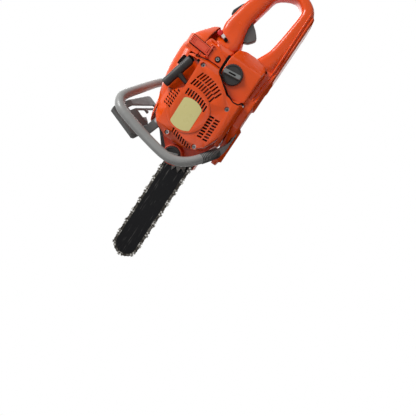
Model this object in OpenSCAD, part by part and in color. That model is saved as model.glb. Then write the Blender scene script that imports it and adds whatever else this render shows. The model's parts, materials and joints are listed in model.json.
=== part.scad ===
// Petrol chainsaw for rescue work: engine unit, starter, guide bar and chain,
// chain brake, clutch, tank with rear handle, and front handle.
// +X points along the guide bar, +Y to the starter side, +Z up.
// The origin lies on the ground, below the crankshaft, in the rear handle's middle plane.

/* [Engine] */
// Height of the crankshaft above the ground
crank_z = 98; // [96:0.5:99]
// Cylinder bore
bore_d = 42; // [38:1:44]
// Piston stroke
stroke = 32; // [28:1:34]
// Connecting rod length between centres
rod_len = 48; // [46:1:50]
// Cooling fins on the cylinder
fin_count = 8; // [6:1:9]
// Thickness of one cooling fin
fin_t = 2; // [1.6:0.2:2.6]
// Crankshaft journal diameter
journal_d = 15; // [13:1:16]
// Flywheel diameter
flywheel_d = 88; // [80:1:92]

/* [Casings] */
// Outer face of the starter cover, from the middle plane
starter_y = 86; // [84:1:90]
// Wall of the moulded covers
cover_wall = 2.6; // [2:0.2:3.2]
// Width of a cooling slot in the starter cover
vent_w = 3.6; // [2.8:0.2:4]
// Outer face of the fuel tank, from the middle plane
tank_y = 66; // [62:1:70]
// Wall of the fuel tank
tank_wall = 3; // [2.4:0.2:4]
// Outer face of the clutch cover, from the middle plane
clutch_cover_y = 98; // [94:1:104]

/* [Bar and chain] */
// Drive links in the chain
link_count = 54; // [50:1:58]
// Thickness of the guide bar
bar_t = 4.4; // [4:0.2:5]
// Distance of the bar's middle plane from the saw's middle plane
bar_y = 55; // [54:0.5:56]
// How far the bar's middle line lies below the crankshaft
bar_drop = 10; // [9:0.1:10.3]
// Thickness of a drive link
gauge = 1.5; // [1.3:0.1:1.6]
// Thickness of a tie strap
strap_t = 1.3; // [1.1:0.1:1.5]
// Diameter of a bar stud
stud_d = 8; // [7:0.5:9]

/* [Handles] */
// Diameter of the front handle tube
tube_d = 21; // [18:0.5:23]
// Height of the middle of the front handle's top
tube_top_z = 240; // [236:1:246]
// Thickness of the hand guard
guard_t = 4.5; // [3.5:0.5:6]
// Width of the rear handle
grip_w = 36; // [32:1:40]
// Diameter of the pins of the trigger and the lockout
pin_d = 4; // [3:0.5:5]
// Diameter of the fuel cap
fuel_cap_d = 42; // [38:1:44]
// Diameter of the oil cap
oil_cap_d = 36; // [32:1:38]
// Diameter of the starter rope
rope_d = 3.5; // [3:0.5:4.5]
// Length of the starter handle
pull_len = 72; // [66:1:76]

/* [Hidden] */
$fn = 48;

// Clearances: a running fit, a seat of two pieces, and room round a turning piece
fit = 0.08;
seat = 0.3;
room = 1.5;

// ---- engine places ----
// Middle of the starter cover's face
cover_z = crank_z + 8;
case_left_y = 36;
case_right_y = -42;
deck_z = crank_z + 38;
tdc_pin_z = crank_z + stroke / 2 + rod_len;
web_r = stroke / 2 + 18;
chamber_r = web_r + room;
bearing_r = journal_d / 2 + 11;
bearing_in = 19;
bearing_out = 31;
crown_z = tdc_pin_z + 12;
fin_bottom_z = deck_z + 12;
fin_top_z = crown_z + 8.5;
fin_w = 32;
port_x = 44;
// ---- starter places ----
fly_y = 40;
fly_t = 17;
pulley_y = 66;
pulley_t = 10;
pulley_r = 28;
rope_r = 23;
post_r = 6;
plate_y = starter_y - cover_wall;
// ---- clutch places ----
sprocket_teeth = 8;
nose_teeth = 12;
drum_r = 34;
drum_in_y = -60;
drum_out_y = -78;
band_t = 1.2;
// Depth of the sprocket's core below the rivet line, and half widths of its teeth
core_drop = 9.6;
tooth_root = 1.9;
tooth_tip = 1.1;
// ---- chain path in the X-Z plane ----
pitch = 8.255;
rail_h = 3.8;
bar_z = crank_z - bar_drop;
bar_plane = -bar_y;
sprocket_r = sprocket_teeth * pitch / PI;
nose_r = nose_teeth * pitch / PI;
tail_r = 60;
tail_x = 64;
chain_len = link_count * 2 * pitch;

// Circles that the chain's rivet line wraps, clockwise from the drive sprocket
function wraps(nx) = [
    [0, crank_z, sprocket_r],
    [tail_x, bar_z + nose_r - tail_r, tail_r],
    [nx, bar_z, nose_r],
    [tail_x, bar_z - nose_r + tail_r, tail_r]];
function gap_x(w, i) = w[(i + 1) % 4][0] - w[i][0];
function gap_z(w, i) = w[(i + 1) % 4][1] - w[i][1];
function centre_gap(w, i) = norm([gap_x(w, i), gap_z(w, i)]);
function radius_step(w, i) = w[i][2] - w[(i + 1) % 4][2];
// Angle of the outward normal of straight run i, and the run's length
function run_normal(w, i) = atan2(gap_z(w, i), gap_x(w, i))
    + acos(radius_step(w, i) / centre_gap(w, i));
function run_len(w, i) = sqrt(pow(centre_gap(w, i), 2) - pow(radius_step(w, i), 2));
function positive(a) = a - 360 * floor(a / 360);
// Sweep of the wrap that follows straight run i, in degrees
function wrap_sweep(w, i) = positive(run_normal(w, i) - run_normal(w, (i + 1) % 4));
function wrap_len(w, i) = w[(i + 1) % 4][2] * wrap_sweep(w, i) * PI / 180;
function leg_len(w, i) = run_len(w, i) + wrap_len(w, i);
function loop_len(w) = leg_len(w, 0) + leg_len(w, 1) + leg_len(w, 2) + leg_len(w, 3);

// The bar is as long as a whole number of links needs
nose_guess = 350;
nose_x = nose_guess + (chain_len - loop_len(wraps(nose_guess))) / 2;
loop = wraps(nose_x);
normals = [for (i = [0:3]) run_normal(loop, i)];
leg_start = [0, leg_len(loop, 0), leg_len(loop, 0) + leg_len(loop, 1),
    leg_len(loop, 0) + leg_len(loop, 1) + leg_len(loop, 2)];
function leg_of(s) = s < leg_start[1] ? 0 : s < leg_start[2] ? 1 : s < leg_start[3] ? 2 : 3;
// Outward normal angle and place of the rivet line at distance s along the loop
function normal_at(s) = let (i = leg_of(s), t = s - leg_start[i] - run_len(loop, i))
    t < 0 ? normals[i] : normals[i] - t / loop[(i + 1) % 4][2] * 180 / PI;
function polar(a) = [cos(a), sin(a)];
function flat(c) = [c[0], c[1]];
function point_at(s) = let (i = leg_of(s), t = s - leg_start[i], l = run_len(loop, i),
        a = normals[i])
    t < l ? flat(loop[i]) + loop[i][2] * polar(a) + t * polar(a - 90)
          : flat(loop[(i + 1) % 4]) + loop[(i + 1) % 4][2] * polar(normal_at(s));
function wrap_s(s) = s - chain_len * floor(s / chain_len);
rivets = [for (k = [0:2 * link_count - 1]) point_at(wrap_s((k + 0.5) * pitch))];
// Angle of a tooth on each sprocket: teeth stand under the tie straps
nose_phase = normals[1] + (leg_start[1] + run_len(loop, 1)) / nose_r * 180 / PI;
sprocket_phase = normals[3] + (leg_start[3] + run_len(loop, 3)) / sprocket_r * 180 / PI;

// ---- handle places ----
guard_pivot = [52, cover_z + 50];
oil_cap_at = [95, 90];
oil_boss_y = 60;
fuel_cap_at = [-109, 72];
trigger_pin = [-196, 128];
lockout_pin = [-262, 131];
latch_x = -124.5;
cover_side_y = 58;
stud_x = [56, 84];
guard_arm_y = 50.3;
guard_arm_t = 6.7;
guard_lean = 19.5;
lug_right_y = -72;
intake_z = deck_z + 14;
seam_z = 157;
hinge_z = 139;
rod_z = 131;
floor_z = 6;
beam_z = 1;
floor_t = 12;
arm_right_y = -66;
cover_posts_at = [[-45, cover_z - 65], [-91, cover_z + 24], [54, cover_z - 50],
    [60, cover_z + 14]];
screw_head_y = starter_y - 12;
pocket_z = 138;
rope_exit = [-44, 75, 141];
rope_hole = [-42.8, 74.4];
pull_mid = [-53, 80, 168];
pull_axis = (pull_mid - rope_exit) / norm(pull_mid - rope_exit);

// ---- drawing helpers ----
// Draws a profile in the X-Z plane and gives it thickness from y0 to y1
module xz(y0, y1) translate([0, y1, 0]) rotate([90, 0, 0]) linear_extrude(y1 - y0) children();
// Draws a profile in the Y-Z plane and gives it thickness from x0 to x1
module yz(x0, x1) translate([x0, 0, 0]) rotate([90, 0, 90]) linear_extrude(x1 - x0) children();
module rod_y(x, z, y0, y1, r) translate([x, y1, z]) rotate([90, 0, 0]) cylinder(h = y1 - y0, r = r);
module tube_y(x, z, y0, y1, r, bore) difference() {
    rod_y(x, z, y0, y1, r);
    rod_y(x, z, y0 - 1, y1 + 1, bore);
}
// Rounds the outward corners of a profile
module soft(r) offset(r = r, $fn = 32) offset(delta = -r) children();
module slot(x, z, w, h) translate([x - w / 2, z - h / 2]) square([w, h]);

// ---- engine ----
module case_profile() soft(6) polygon([[-66, 30], [-66, 120], [-48, deck_z], [38, deck_z],
    [44, deck_z + 8], [67, deck_z + 5], [92, 116], [117, 105], [117, 78], [94, 66], [70, 47], [46, 33],
    [20, 24], [-58, 24]]);
module case_core_profile() polygon([[-62, 32], [-62, 118], [-46, deck_z], [40, deck_z],
    [40, 104], [104, 104], [110, 98], [110, 70], [96, 62], [70, 46], [46, 33], [20, 24],
    [-56, 24]]);
module cylinder_bore_hole() translate([0, 0, crank_z]) cylinder(h = 60, r = bore_d / 2 + 2);

module crankcase_left() color("orangered") difference() {
    union() {
        xz(0, case_left_y - 8) case_core_profile();
        xz(case_left_y - 8, case_left_y) case_profile();
        rod_y(oil_cap_at[0], oil_cap_at[1], case_left_y - 8, oil_boss_y, oil_cap_d / 2 + 4);
        rod_y(guard_pivot[0], guard_pivot[1], case_left_y - 8, 50, 10);
        xz(case_left_y - 8, 50) polygon([[42, 138], [42, 156], [62, 156], [64, 138]]);
    }
    rod_y(0, crank_z, -1, bearing_in, chamber_r);
    rod_y(0, crank_z, -1, bearing_out, bearing_r);
    rod_y(0, crank_z, -1, case_left_y + 1, journal_d / 2 + 1);
    cylinder_bore_hole();
    for (p = cover_posts_at) rod_y(p[0], p[1], case_left_y - 9, case_left_y + 1, 2.52);
    rod_y(oil_cap_at[0], oil_cap_at[1], 20, oil_boss_y + 1, oil_cap_d / 2 - 4);
    rod_y(guard_pivot[0], guard_pivot[1], 30, 51, 3);
}

module crankcase_right() color("orangered") difference() {
    union() {
        xz(case_right_y, 0) case_core_profile();
        xz(-bar_y + bar_t / 2, case_right_y) soft(8)
            polygon([[40, bar_z - 24], [40, bar_z + 24], [108, bar_z + 24], [108, bar_z - 24]]);
    }
    rod_y(0, crank_z, -bearing_in, 1, chamber_r);
    rod_y(0, crank_z, -bearing_out, 1, bearing_r);
    rod_y(0, crank_z, case_right_y - 1, 1, journal_d / 2 + 1);
    cylinder_bore_hole();
    for (x = stud_x) rod_y(x, bar_z, -70, -30, stud_d / 2);
    xz(-60, -46) slot(101, bar_z + 13, 20, 8);
}

module cylinder_fins() for (i = [0:fin_count - 1])
    translate([0, 0, fin_bottom_z + i * (fin_top_z - fin_bottom_z - fin_t) / (fin_count - 1)])
        linear_extrude(fin_t) soft(8) polygon([[-port_x + 4, -fin_w], [-port_x + 4, fin_w],
            [port_x - 12, fin_w], [port_x - 12, -fin_w]]);
module engine_cylinder() color("silver") difference() {
    union() {
        translate([0, 0, deck_z]) cylinder(h = crown_z + 8 - deck_z, r = bore_d / 2 + 4);
        translate([-33, -33, deck_z]) cube([66, 66, 6]);
        cylinder_fins();
        plug_place() cylinder(h = 15, r = 9);
        yz(0, port_x) slot(0, deck_z + 12, 34, 18);
        yz(-port_x, 0) slot(0, deck_z + 14, 30, 20);
    }
    translate([0, 0, deck_z - 1]) cylinder(h = crown_z - deck_z + 3, r = bore_d / 2);
    yz(8, port_x + 1) slot(0, deck_z + 12, 22, 9);
    yz(-port_x - 1, -8) slot(0, deck_z + 14, 18, 10);
    plug_place() cylinder(h = 30, r = 5);
    plug_place() translate([0, 0, 15]) cylinder(h = 60, r = 11);
    plug_place() translate([0, 0, 33]) rotate([-90, 0, 0]) cylinder(h = 40, r = 7);
}

module piston() color("gainsboro") difference() {
    translate([0, 0, tdc_pin_z - 14]) cylinder(h = crown_z - tdc_pin_z + 14, r = bore_d / 2 - fit);
    translate([0, 0, tdc_pin_z - 15]) cylinder(h = 24.5, r = bore_d / 2 - 4);
    rod_y(0, tdc_pin_z, -30, 30, 5);
    for (z = [crown_z - 3, crown_z - 6]) translate([0, 0, z]) difference() {
        cylinder(h = 1.2, r = bore_d / 2 + 1);
        translate([0, 0, -1]) cylinder(h = 4, r = bore_d / 2 - 1.5);
    }
}

// The rod ends in a hollow above the big-end eye, which turns with the crank pin
module connecting_rod() color("slategray") {
    difference() {
        union() {
            rod_y(0, tdc_pin_z, -4.5, 4.5, 8.5);
            xz(-3, 3) polygon([[-7, crank_z + stroke / 2], [7, crank_z + stroke / 2],
                [5, tdc_pin_z], [-5, tdc_pin_z]]);
        }
        rod_y(0, crank_z, -5, 5, stroke / 2 + 12 + seat);
        rod_y(0, tdc_pin_z, -6, 6, 5);
    }
    rod_y(0, tdc_pin_z, -bore_d / 2 + 3, bore_d / 2 - 3, 5 - fit / 2);
}

module crankshaft() color("dimgray") {
    rod_y(0, crank_z, 5.5, fly_y, journal_d / 2);
    rod_y(0, crank_z, fly_y, fly_y + fly_t + 2, journal_d / 2 - 1);
    rod_y(0, crank_z, fly_y + fly_t, pulley_y - 2.5, 4);
    rod_y(0, crank_z, fly_y + fly_t + 0.2, fly_y + fly_t + 5, 9, $fn = 6);
    rod_y(0, crank_z, -44, -5.5, journal_d / 2);
    rod_y(0, crank_z, -62, -44, 6);
    rod_y(0, crank_z, -84, -62, 5);
    rod_y(0, crank_z + stroke / 2, -5.5, 5.5, 7);
    for (y = [-15, 5.5]) xz(y, y + 9.5) difference() {
        translate([0, crank_z]) circle(web_r);
        for (m = [-1, 1]) translate([m * 27, crank_z + 22]) circle(15);
    }
    tube_y(0, crank_z + stroke / 2, -4.5, 4.5, 12, 7 + fit);
}

module crank_bearings() color("lightsteelblue") for (y = [bearing_in, -bearing_out]) {
    tube_y(0, crank_z, y, y + 12, bearing_r - 0.02, bearing_r - 4);
    tube_y(0, crank_z, y, y + 12, journal_d / 2 + 4, journal_d / 2 + 0.02);
    for (a = [0:45:315]) translate([(journal_d / 2 + 5.5) * cos(a), y + 6,
        crank_z + (journal_d / 2 + 5.5) * sin(a)]) sphere(r = 1.45, $fn = 24);
}

module flywheel() color("darkgray") difference() {
    union() {
        rod_y(0, crank_z, fly_y, fly_y + 6, flywheel_d / 2);
        rod_y(0, crank_z, fly_y, fly_y + fly_t, 13);
        tube_y(0, crank_z, fly_y, fly_y + 12, flywheel_d / 2, flywheel_d / 2 - 6);
        for (a = [0:24:336]) translate([0, 0, crank_z]) rotate([0, a, 0])
            xz(fly_y + 5, fly_y + fly_t + 5) translate([18, 5]) square([flywheel_d / 2 - 20, 2.2]);
    }
    rod_y(0, crank_z, fly_y - 1, fly_y + fly_t + 9, journal_d / 2 - 1 + 0.02);
}

module ignition_coil() color("black") translate([flywheel_d / 2, case_left_y, crank_z]) {
    difference() {
        translate([1, 0, -15]) cube([6, 16, 30]);
        translate([-flywheel_d / 2, 0, 0]) rod_y(0, 0, -1, 30, flywheel_d / 2 + 0.6);
    }
    translate([6, 0, -10]) cube([12, 20, 20]);
}

module plug_place() translate([0, 0, crown_z + 2.5]) rotate([0, -62, 0]) children();
module spark_plug() color("white") plug_place() {
    translate([0, 0, 6]) cylinder(h = 9, r = 5 - 0.02);
    translate([0, 0, 15]) cylinder(h = 6, r = 8, $fn = 6);
    translate([0, 0, 21]) cylinder(h = 14, r = 4.5);
}
module plug_cap() color("black") plug_place() difference() {
    union() {
        translate([0, 0, 22]) cylinder(h = 16, r = 7);
        translate([0, 0, 32]) rotate([-90, 0, 0]) cylinder(h = 18, r = 4.5);
    }
    translate([0, 0, 21]) cylinder(h = 14 + seat, r = 4.5 + fit);
}

// ---- starter ----
// Turns the +Z axis onto direction d and moves it to p
module along(p, d) translate(p) rotate([0, acos(d[2] / norm(d)), atan2(d[1], d[0])]) children();

module starter_side() soft(5) polygon([[-98, 173], [-104, 142], [-104, 100], [-82, 77],
    [-66, 56], [-66, 38], [-73, 22], [8, 22], [44, 38], [62, 60], [70, 84], [70, 124],
    [58, 146], [40, 164], [20, 171], [-20, 173]]);
// Solid form of the starter cover, drawn in by g and opened towards the engine
module starter_form(g) intersection() {
    xz(0, starter_y - g) offset(delta = -g) starter_side();
    yz(-110, 80) offset(delta = -g) polygon([[-9, 10], [starter_y - 5, 10], [starter_y, 24],
        [starter_y, 148], [starter_y - 12, 164], [62, 176], [-9, 176]]);
    linear_extrude(200) offset(delta = -g) polygon([[-108, -9], [-108, 70], [-90, starter_y],
        [52, starter_y], [72, 64], [72, -9]]);
}
module pull_pocket(g) xz(66 - g, 120) offset(delta = g) soft(7)
    polygon([[-95, pocket_z], [-95, 200], [-18, 200], [-18, 156], [-34, pocket_z]]);
module cover_posts(r, y1) for (p = cover_posts_at)
    rod_y(p[0], p[1], p[0] < -70 ? cover_side_y : case_left_y, y1, r);

// Curve that the rear cooling slots begin on
function vent_edge(z) = sqrt(pow(75, 2) - pow(z - cover_z - 9, 2));
// Column of slots of length len that fall away to the rear by drop
module vent_column(shift, len, drop, top, rows, pitch) for (i = [0:rows - 1])
    let (z = cover_z + top - i * pitch, x = shift - vent_edge(z))
        polygon([[x, z], [x - len, z - drop], [x - len, z - drop + vent_w], [x, z + vent_w]]);
module leaning_slot(x, z, h, lean, w) polygon([[x, z], [x + w, z], [x + w + lean, z + h],
    [x + lean, z + h]]);
module vents() xz(50, starter_y + 5) {
    vent_column(11.2, 15, 5.6, 18, 9, 6.6);
    vent_column(27.3, 13.6, 3.4, 22, 9, 6.4);
    vent_column(49.7, 13.4, 0, 20, 9, 6.2);
    for (i = [0:7]) for (z = [cover_z - 67, cover_z - 53.5])
        leaning_slot(-18 + i * 6.5, z, 10, 1.5, vent_w + 0.2);
    for (row = [0:2]) for (i = [0:6 - row])
        leaning_slot(-23 + row * 5 + i * 6, cover_z + 34.5 + row * 7.4, 5.6, -2.4, 3);
    for (i = [0:8]) translate([44 + i * 1.6, cover_z + 3 - i * 5.8]) square([11, vent_w - 0.6]);
}
// Face of the raised round panel, clear of the pull handle's pocket
module disc_face() intersection() {
    translate([0, cover_z]) circle(45.5);
    polygon([[-60, 50], [-60, 134], [-36, 134], [-14, 149], [-14, 160], [60, 160], [60, 50]]);
}

module starter_cover() color("orangered") difference() {
    union() {
        difference() {
            starter_form(0);
            pull_pocket(0);
            difference() {
                starter_form(cover_wall);
                pull_pocket(cover_wall);
            }
        }
        xz(plate_y, starter_y + 1.5) disc_face();
        rod_y(0, crank_z, pulley_y, plate_y + 1, post_r);
        cover_posts(6, plate_y + 1);
    }
    cover_posts(2.6, starter_y + 5);
    for (p = cover_posts_at) rod_y(p[0], p[1], screw_head_y, starter_y + 5, 5);
    vents();
    translate([-110, -1, 0]) cube([44, cover_side_y + 1, 300]);
    translate([-110, -1, 0]) cube([400, case_left_y + 1, 300]);
    translate([rope_hole[0], rope_hole[1], pocket_z - 20]) cylinder(h = 30, r = 4.7);
    xz(starter_y + 0.9, starter_y + 5) plate_profile(0.2);
    // Room for the hand guard's arm and its screw
    xz(30, guard_arm_y + guard_arm_t + 7) polygon([[36, 141], [120, 136], [120, 200], [36, 200]]);
    xz(30, 51) polygon([[40, 136], [80, 136], [80, 145], [40, 145]]);
    translate([-110, -1, 141]) cube([400, 40.5, 100]);
}

module plate_profile(g) offset(delta = g) soft(5) intersection() {
    translate([0, cover_z]) circle(41.5);
    translate([15, cover_z]) circle(39);
    translate([-26, cover_z - 25]) square([72, 45.5]);
}
module side_plate() color("khaki") xz(starter_y + 0.9, starter_y + 1.8) plate_profile(0);

// Flat spring wound round the post: a spiral strip
function spiral(a, w) = [for (t = [0:18:a]) (9.5 + t * 0.0085 + w) * polar(t)];
module recoil_spring() color("steelblue") translate([0, 0, crank_z]) xz(pulley_y + pulley_t + 0.4,
    plate_y) polygon(concat(spiral(1620, 0.4), [for (t = [1620:-18:0])
        (9.5 + t * 0.0085 - 0.4) * polar(t)]));

module rope_pulley() color("darkslategray") difference() {
    union() {
        tube_y(0, crank_z, pulley_y, pulley_y + 2, pulley_r, post_r + fit);
        tube_y(0, crank_z, pulley_y, pulley_y + pulley_t, rope_r, post_r + fit);
        tube_y(0, crank_z, pulley_y + pulley_t - 2, pulley_y + pulley_t, pulley_r, post_r + fit);
    }
    for (a = [0:60:300]) translate([16 * cos(a), 0, 16 * sin(a)])
        rod_y(0, crank_z, pulley_y - 1, pulley_y + pulley_t + 1, 4);
}

rope_start = [-rope_r - rope_d / 2 - seat, pulley_y + pulley_t / 2, crank_z];
rope_low = rope_exit - 6 * pull_axis;
module rope_lead() color("lightgray") along(rope_start, rope_low - rope_start)
    cylinder(h = norm(rope_low - rope_start) - 5, r = rope_d / 2);
module starter_rope() color("lightgray") along(rope_low, pull_axis)
    cylinder(h = norm(pull_mid - rope_low) + 4, r = rope_d / 2);
module starter_handle() color("darkslategray") difference() {
    union() {
        translate(pull_mid) rotate([0, -16.7, 0]) {
            rotate([0, 90, 0]) cylinder(h = pull_len - 17, r = 8.5, center = true);
            for (m = [-1, 1]) translate([m * (pull_len - 17) / 2, 0, 0]) sphere(r = 8.5);
        }
        along(pull_mid - 28.2 * pull_axis, pull_axis) cylinder(h = 28.2, r1 = 4.5, r2 = 6.5);
    }
    along(pull_mid - 29 * pull_axis, pull_axis) cylinder(h = 34, r = rope_d / 2 + fit);
}
module rope_bushing() color("black") translate([rope_hole[0], rope_hole[1], pocket_z])
    difference() {
        union() {
            translate([0, 0, -6]) cylinder(h = 7, r = 4.6);
            cylinder(h = 2, r = 6);
        }
        translate([0, 0, -7]) cylinder(h = 12, r = 3.2);
    }
module cover_screws() color("silver") for (p = cover_posts_at) difference() {
    union() {
        rod_y(p[0], p[1], screw_head_y, screw_head_y + 4, 4.6);
        rod_y(p[0], p[1], (p[0] < -70 ? cover_side_y : case_left_y) - 8, screw_head_y, 2.5);
    }
    rod_y(p[0], p[1], screw_head_y + 1.5, screw_head_y + 5, 2.2, $fn = 6);
}

// ---- clutch and brake ----
module clutch_hub() color("dimgray") {
    tube_y(0, crank_z, -76, drum_in_y - 3, 9, 5.02);
    for (a = [0:120:240]) translate([0, 0, crank_z]) rotate([0, a, 0]) xz(-76, drum_in_y - 3)
        difference() {
            circle(drum_r - 2 - room);
            circle(20);
            translate([-40, -40]) square([80, 40]);
            rotate(118) translate([-1, 0]) square([80, 60]);
        }
    for (a = [0:120:240]) translate([0, 0, crank_z]) rotate([0, a, 0])
        xz(-73, drum_in_y - 6) rotate(58) translate([8, -3]) square([13, 6]);
}
module sprocket_tooth(r0, r1, w0, w1) polygon([[r0, -w0], [r1, -w1], [r1, w1], [r0, w0]]);
module clutch_drum() color("gray") {
    difference() {
        union() {
            rod_y(0, crank_z, drum_in_y - 2, drum_in_y, drum_r);
            tube_y(0, crank_z, drum_out_y, drum_in_y, drum_r, drum_r - 2);
            xz(bar_plane - 4, bar_plane + 4) translate([0, crank_z]) {
                circle(sprocket_r - core_drop);
                for (i = [0:sprocket_teeth - 1]) rotate(sprocket_phase + i * 360 / sprocket_teeth)
                    sprocket_tooth(sprocket_r - core_drop - 0.4, sprocket_r - rail_h - 0.2,
                        tooth_root, tooth_tip);
            }
            rod_y(0, crank_z, drum_in_y, bar_plane + 4, sprocket_r - core_drop);
        }
        rod_y(0, crank_z, -70, -40, 6 + fit);
    }
}
module brake_band() color("steelblue") xz(drum_out_y + 3, drum_in_y - 4)
    difference() {
        union() {
            translate([0, crank_z]) circle(drum_r + 0.5 + band_t);
            translate([drum_r - 14.5, crank_z - drum_r + 2]) square([20, 5]);
        }
        translate([0, crank_z]) circle(drum_r + 0.5);
        translate([0, crank_z]) rotate(200) translate([10, -4]) square([60, 8]);
    }
module clutch_side() soft(6) union() {
    translate([0, crank_z]) circle(drum_r + 11);
    polygon([[-30, crank_z - drum_r], [20, bar_z - 38], [112, bar_z - 38], [118, bar_z],
        [112, bar_z + 36], [60, crank_z + 38], [0, crank_z + 45]]);
}
module clutch_cover() color("orangered") difference() {
    union() {
        difference() {
            xz(-clutch_cover_y, -bar_y - bar_t / 2 - 1) clutch_side();
            xz(-clutch_cover_y + 3, -40) offset(delta = -3) clutch_side();
        }
        for (x = stud_x) rod_y(x, bar_z, -clutch_cover_y + 1, -bar_y - bar_t / 2, 9);
        rod_y(guard_pivot[0], guard_pivot[1], lug_right_y, -60, 9);
        xz(lug_right_y, -60) polygon([[28, 132], [44, guard_pivot[1] - 2],
            [60, guard_pivot[1] - 2], [78, 132]]);
    }
    for (x = stud_x) rod_y(x, bar_z, -clutch_cover_y - 1, -40, stud_d / 2 + 0.3);
    rod_y(guard_pivot[0], guard_pivot[1], -81, -59, 3);
    for (i = [0:4]) xz(-clutch_cover_y - 1, -90) slot(-24 + i * 9, crank_z + 8, 4, 34);
}
module bar_studs() color("silver") for (x = stud_x)
    rod_y(x, bar_z, -clutch_cover_y - 9, -31, stud_d / 2 - 0.02);
module bar_nuts() color("silver") for (x = stud_x) difference() {
    union() {
        rod_y(x, bar_z, -clutch_cover_y - 7, -clutch_cover_y, 7.5, $fn = 6);
        rod_y(x, bar_z, -clutch_cover_y - 1.6, -clutch_cover_y, 8.8);
    }
    rod_y(x, bar_z, -clutch_cover_y - 10, -60, stud_d / 2);
}
module oil_pump() color("gray") difference() {
    union() {
        rod_y(0, crank_z, case_right_y - 6, case_right_y, 22);
        xz(case_right_y - 6, case_right_y) translate([12, crank_z - 26]) square([26, 16]);
    }
    rod_y(0, crank_z, case_right_y - 7, case_right_y + 1, journal_d / 2 + 1);
}

// ---- guide bar and chain ----
rail_r = nose_r - rail_h;
// Outline of the bar between its rails; n samples on the nose
function bar_edge(g) = concat(
    [for (x = [38:5.2:64]) [x, bar_z + nose_r - tail_r
        + sqrt(pow(tail_r - rail_h - g, 2) - pow(x - tail_x, 2))]],
    [for (a = [90:-6:-90]) [nose_x, bar_z] + (rail_r - g) * polar(a)],
    [for (x = [64:-5.2:38]) [x, bar_z - nose_r + tail_r
        - sqrt(pow(tail_r - rail_h - g, 2) - pow(x - tail_x, 2))]]);
module guide_bar() color("dimgray") difference() {
    xz(bar_plane - bar_t / 2, bar_plane + bar_t / 2) polygon(bar_edge(0));
    xz(bar_plane - 0.8, bar_plane + 0.8) difference() {
        translate([0, bar_z - 50]) square([nose_x + 50, 100]);
        translate([-0.5, 0]) polygon(bar_edge(6));
    }
    xz(bar_plane - 0.85, bar_plane + 0.85) translate([nose_x, bar_z]) difference() {
        circle(rail_r - 2.2);
        circle(7);
    }
    xz(-70, -40) {
        translate([stud_x[0] - 10, bar_z - stud_d / 2 - 0.05]) square([stud_x[1] - stud_x[0] + 20,
            stud_d + 0.1]);
        for (m = [-1, 1]) translate([101, bar_z + m * 13]) circle(2.7);
        for (x = [44, 72]) translate([x, bar_z + 12]) circle(1.6);
    }
}
module nose_sprocket() color("gray") xz(bar_plane - gauge / 2, bar_plane + gauge / 2)
    translate([nose_x, bar_z]) difference() {
        union() {
            circle(18);
            for (i = [0:nose_teeth - 1]) rotate(nose_phase + i * 360 / nose_teeth)
                sprocket_tooth(17, nose_r - rail_h - 3, 2.9, 1.3);
        }
        circle(7 + fit);
        for (a = [0:60:300]) translate(12.5 * polar(a)) circle(2.2);
    }

// Puts a link between rivets k and k + 1, drawn lengthwise about its middle
module at_link(k) translate((rivets[k] + rivets[(k + 1) % (2 * link_count)]) / 2)
    rotate(atan2(rivets[(k + 1) % (2 * link_count)][1] - rivets[k][1],
        rivets[(k + 1) % (2 * link_count)][0] - rivets[k][0])) children();
module rivet_holes() for (m = [-1, 1]) translate([m * pitch / 2, 0]) circle(2, $fn = 16);
module drive_links() color("slategray")
    for (i = [0:link_count - 1]) xz(bar_plane - gauge / 2, bar_plane + gauge / 2)
        at_link(2 * i) difference() {
            polygon([[-7.3, 1.2], [-6.4, 2.8], [-4.4, 3.4], [4.4, 3.4], [6.4, 2.8], [7.3, 1.2],
                [7.3, -1.2], [5.6, -2.9], [4.5, -5.5], [1.8, -9], [-1.5, -9], [-5, -4.4],
                [-7.3, -1.2]]);
            rivet_holes();
        }
strap_in = gauge / 2 + 0.05;
strap_out = strap_in + strap_t;
module strap_profile() polygon([[-7.4, -1.2], [-7.4, 1.2], [-6.4, 2.9], [-4.4, 3.5], [-2, 2.6],
    [2, 2.6], [4.4, 3.5], [6.4, 2.9], [7.4, 1.2], [7.4, -1.2], [6.2, -3.5], [-6.2, -3.5]]);
module rivet_pair(k) {
    xz(bar_plane - strap_out - 0.5, bar_plane + strap_out + 0.5) at_link(k)
        for (m = [-1, 1]) translate([m * pitch / 2, 0]) circle(1.9, $fn = 16);
    for (y = [-strap_out - 0.5, strap_out + 0.05]) xz(bar_plane + y, bar_plane + y + 0.45)
        at_link(k) for (m = [-1, 1]) translate([m * pitch / 2, 0]) circle(2.5, $fn = 16);
}
module left_strap(k) xz(bar_plane + strap_in, bar_plane + strap_out) at_link(k) difference() {
    children();
    rivet_holes();
}
module right_strap(k) {
    xz(bar_plane - strap_out, bar_plane - strap_in) at_link(k) children();
    rivet_pair(k);
}
module tie_straps() color("gray") for (i = [0:link_count - 1]) let (k = 2 * i + 1) {
    if (i % 4 != 0) left_strap(k) strap_profile();
    if (i % 4 != 2) right_strap(k) strap_profile();
}
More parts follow.
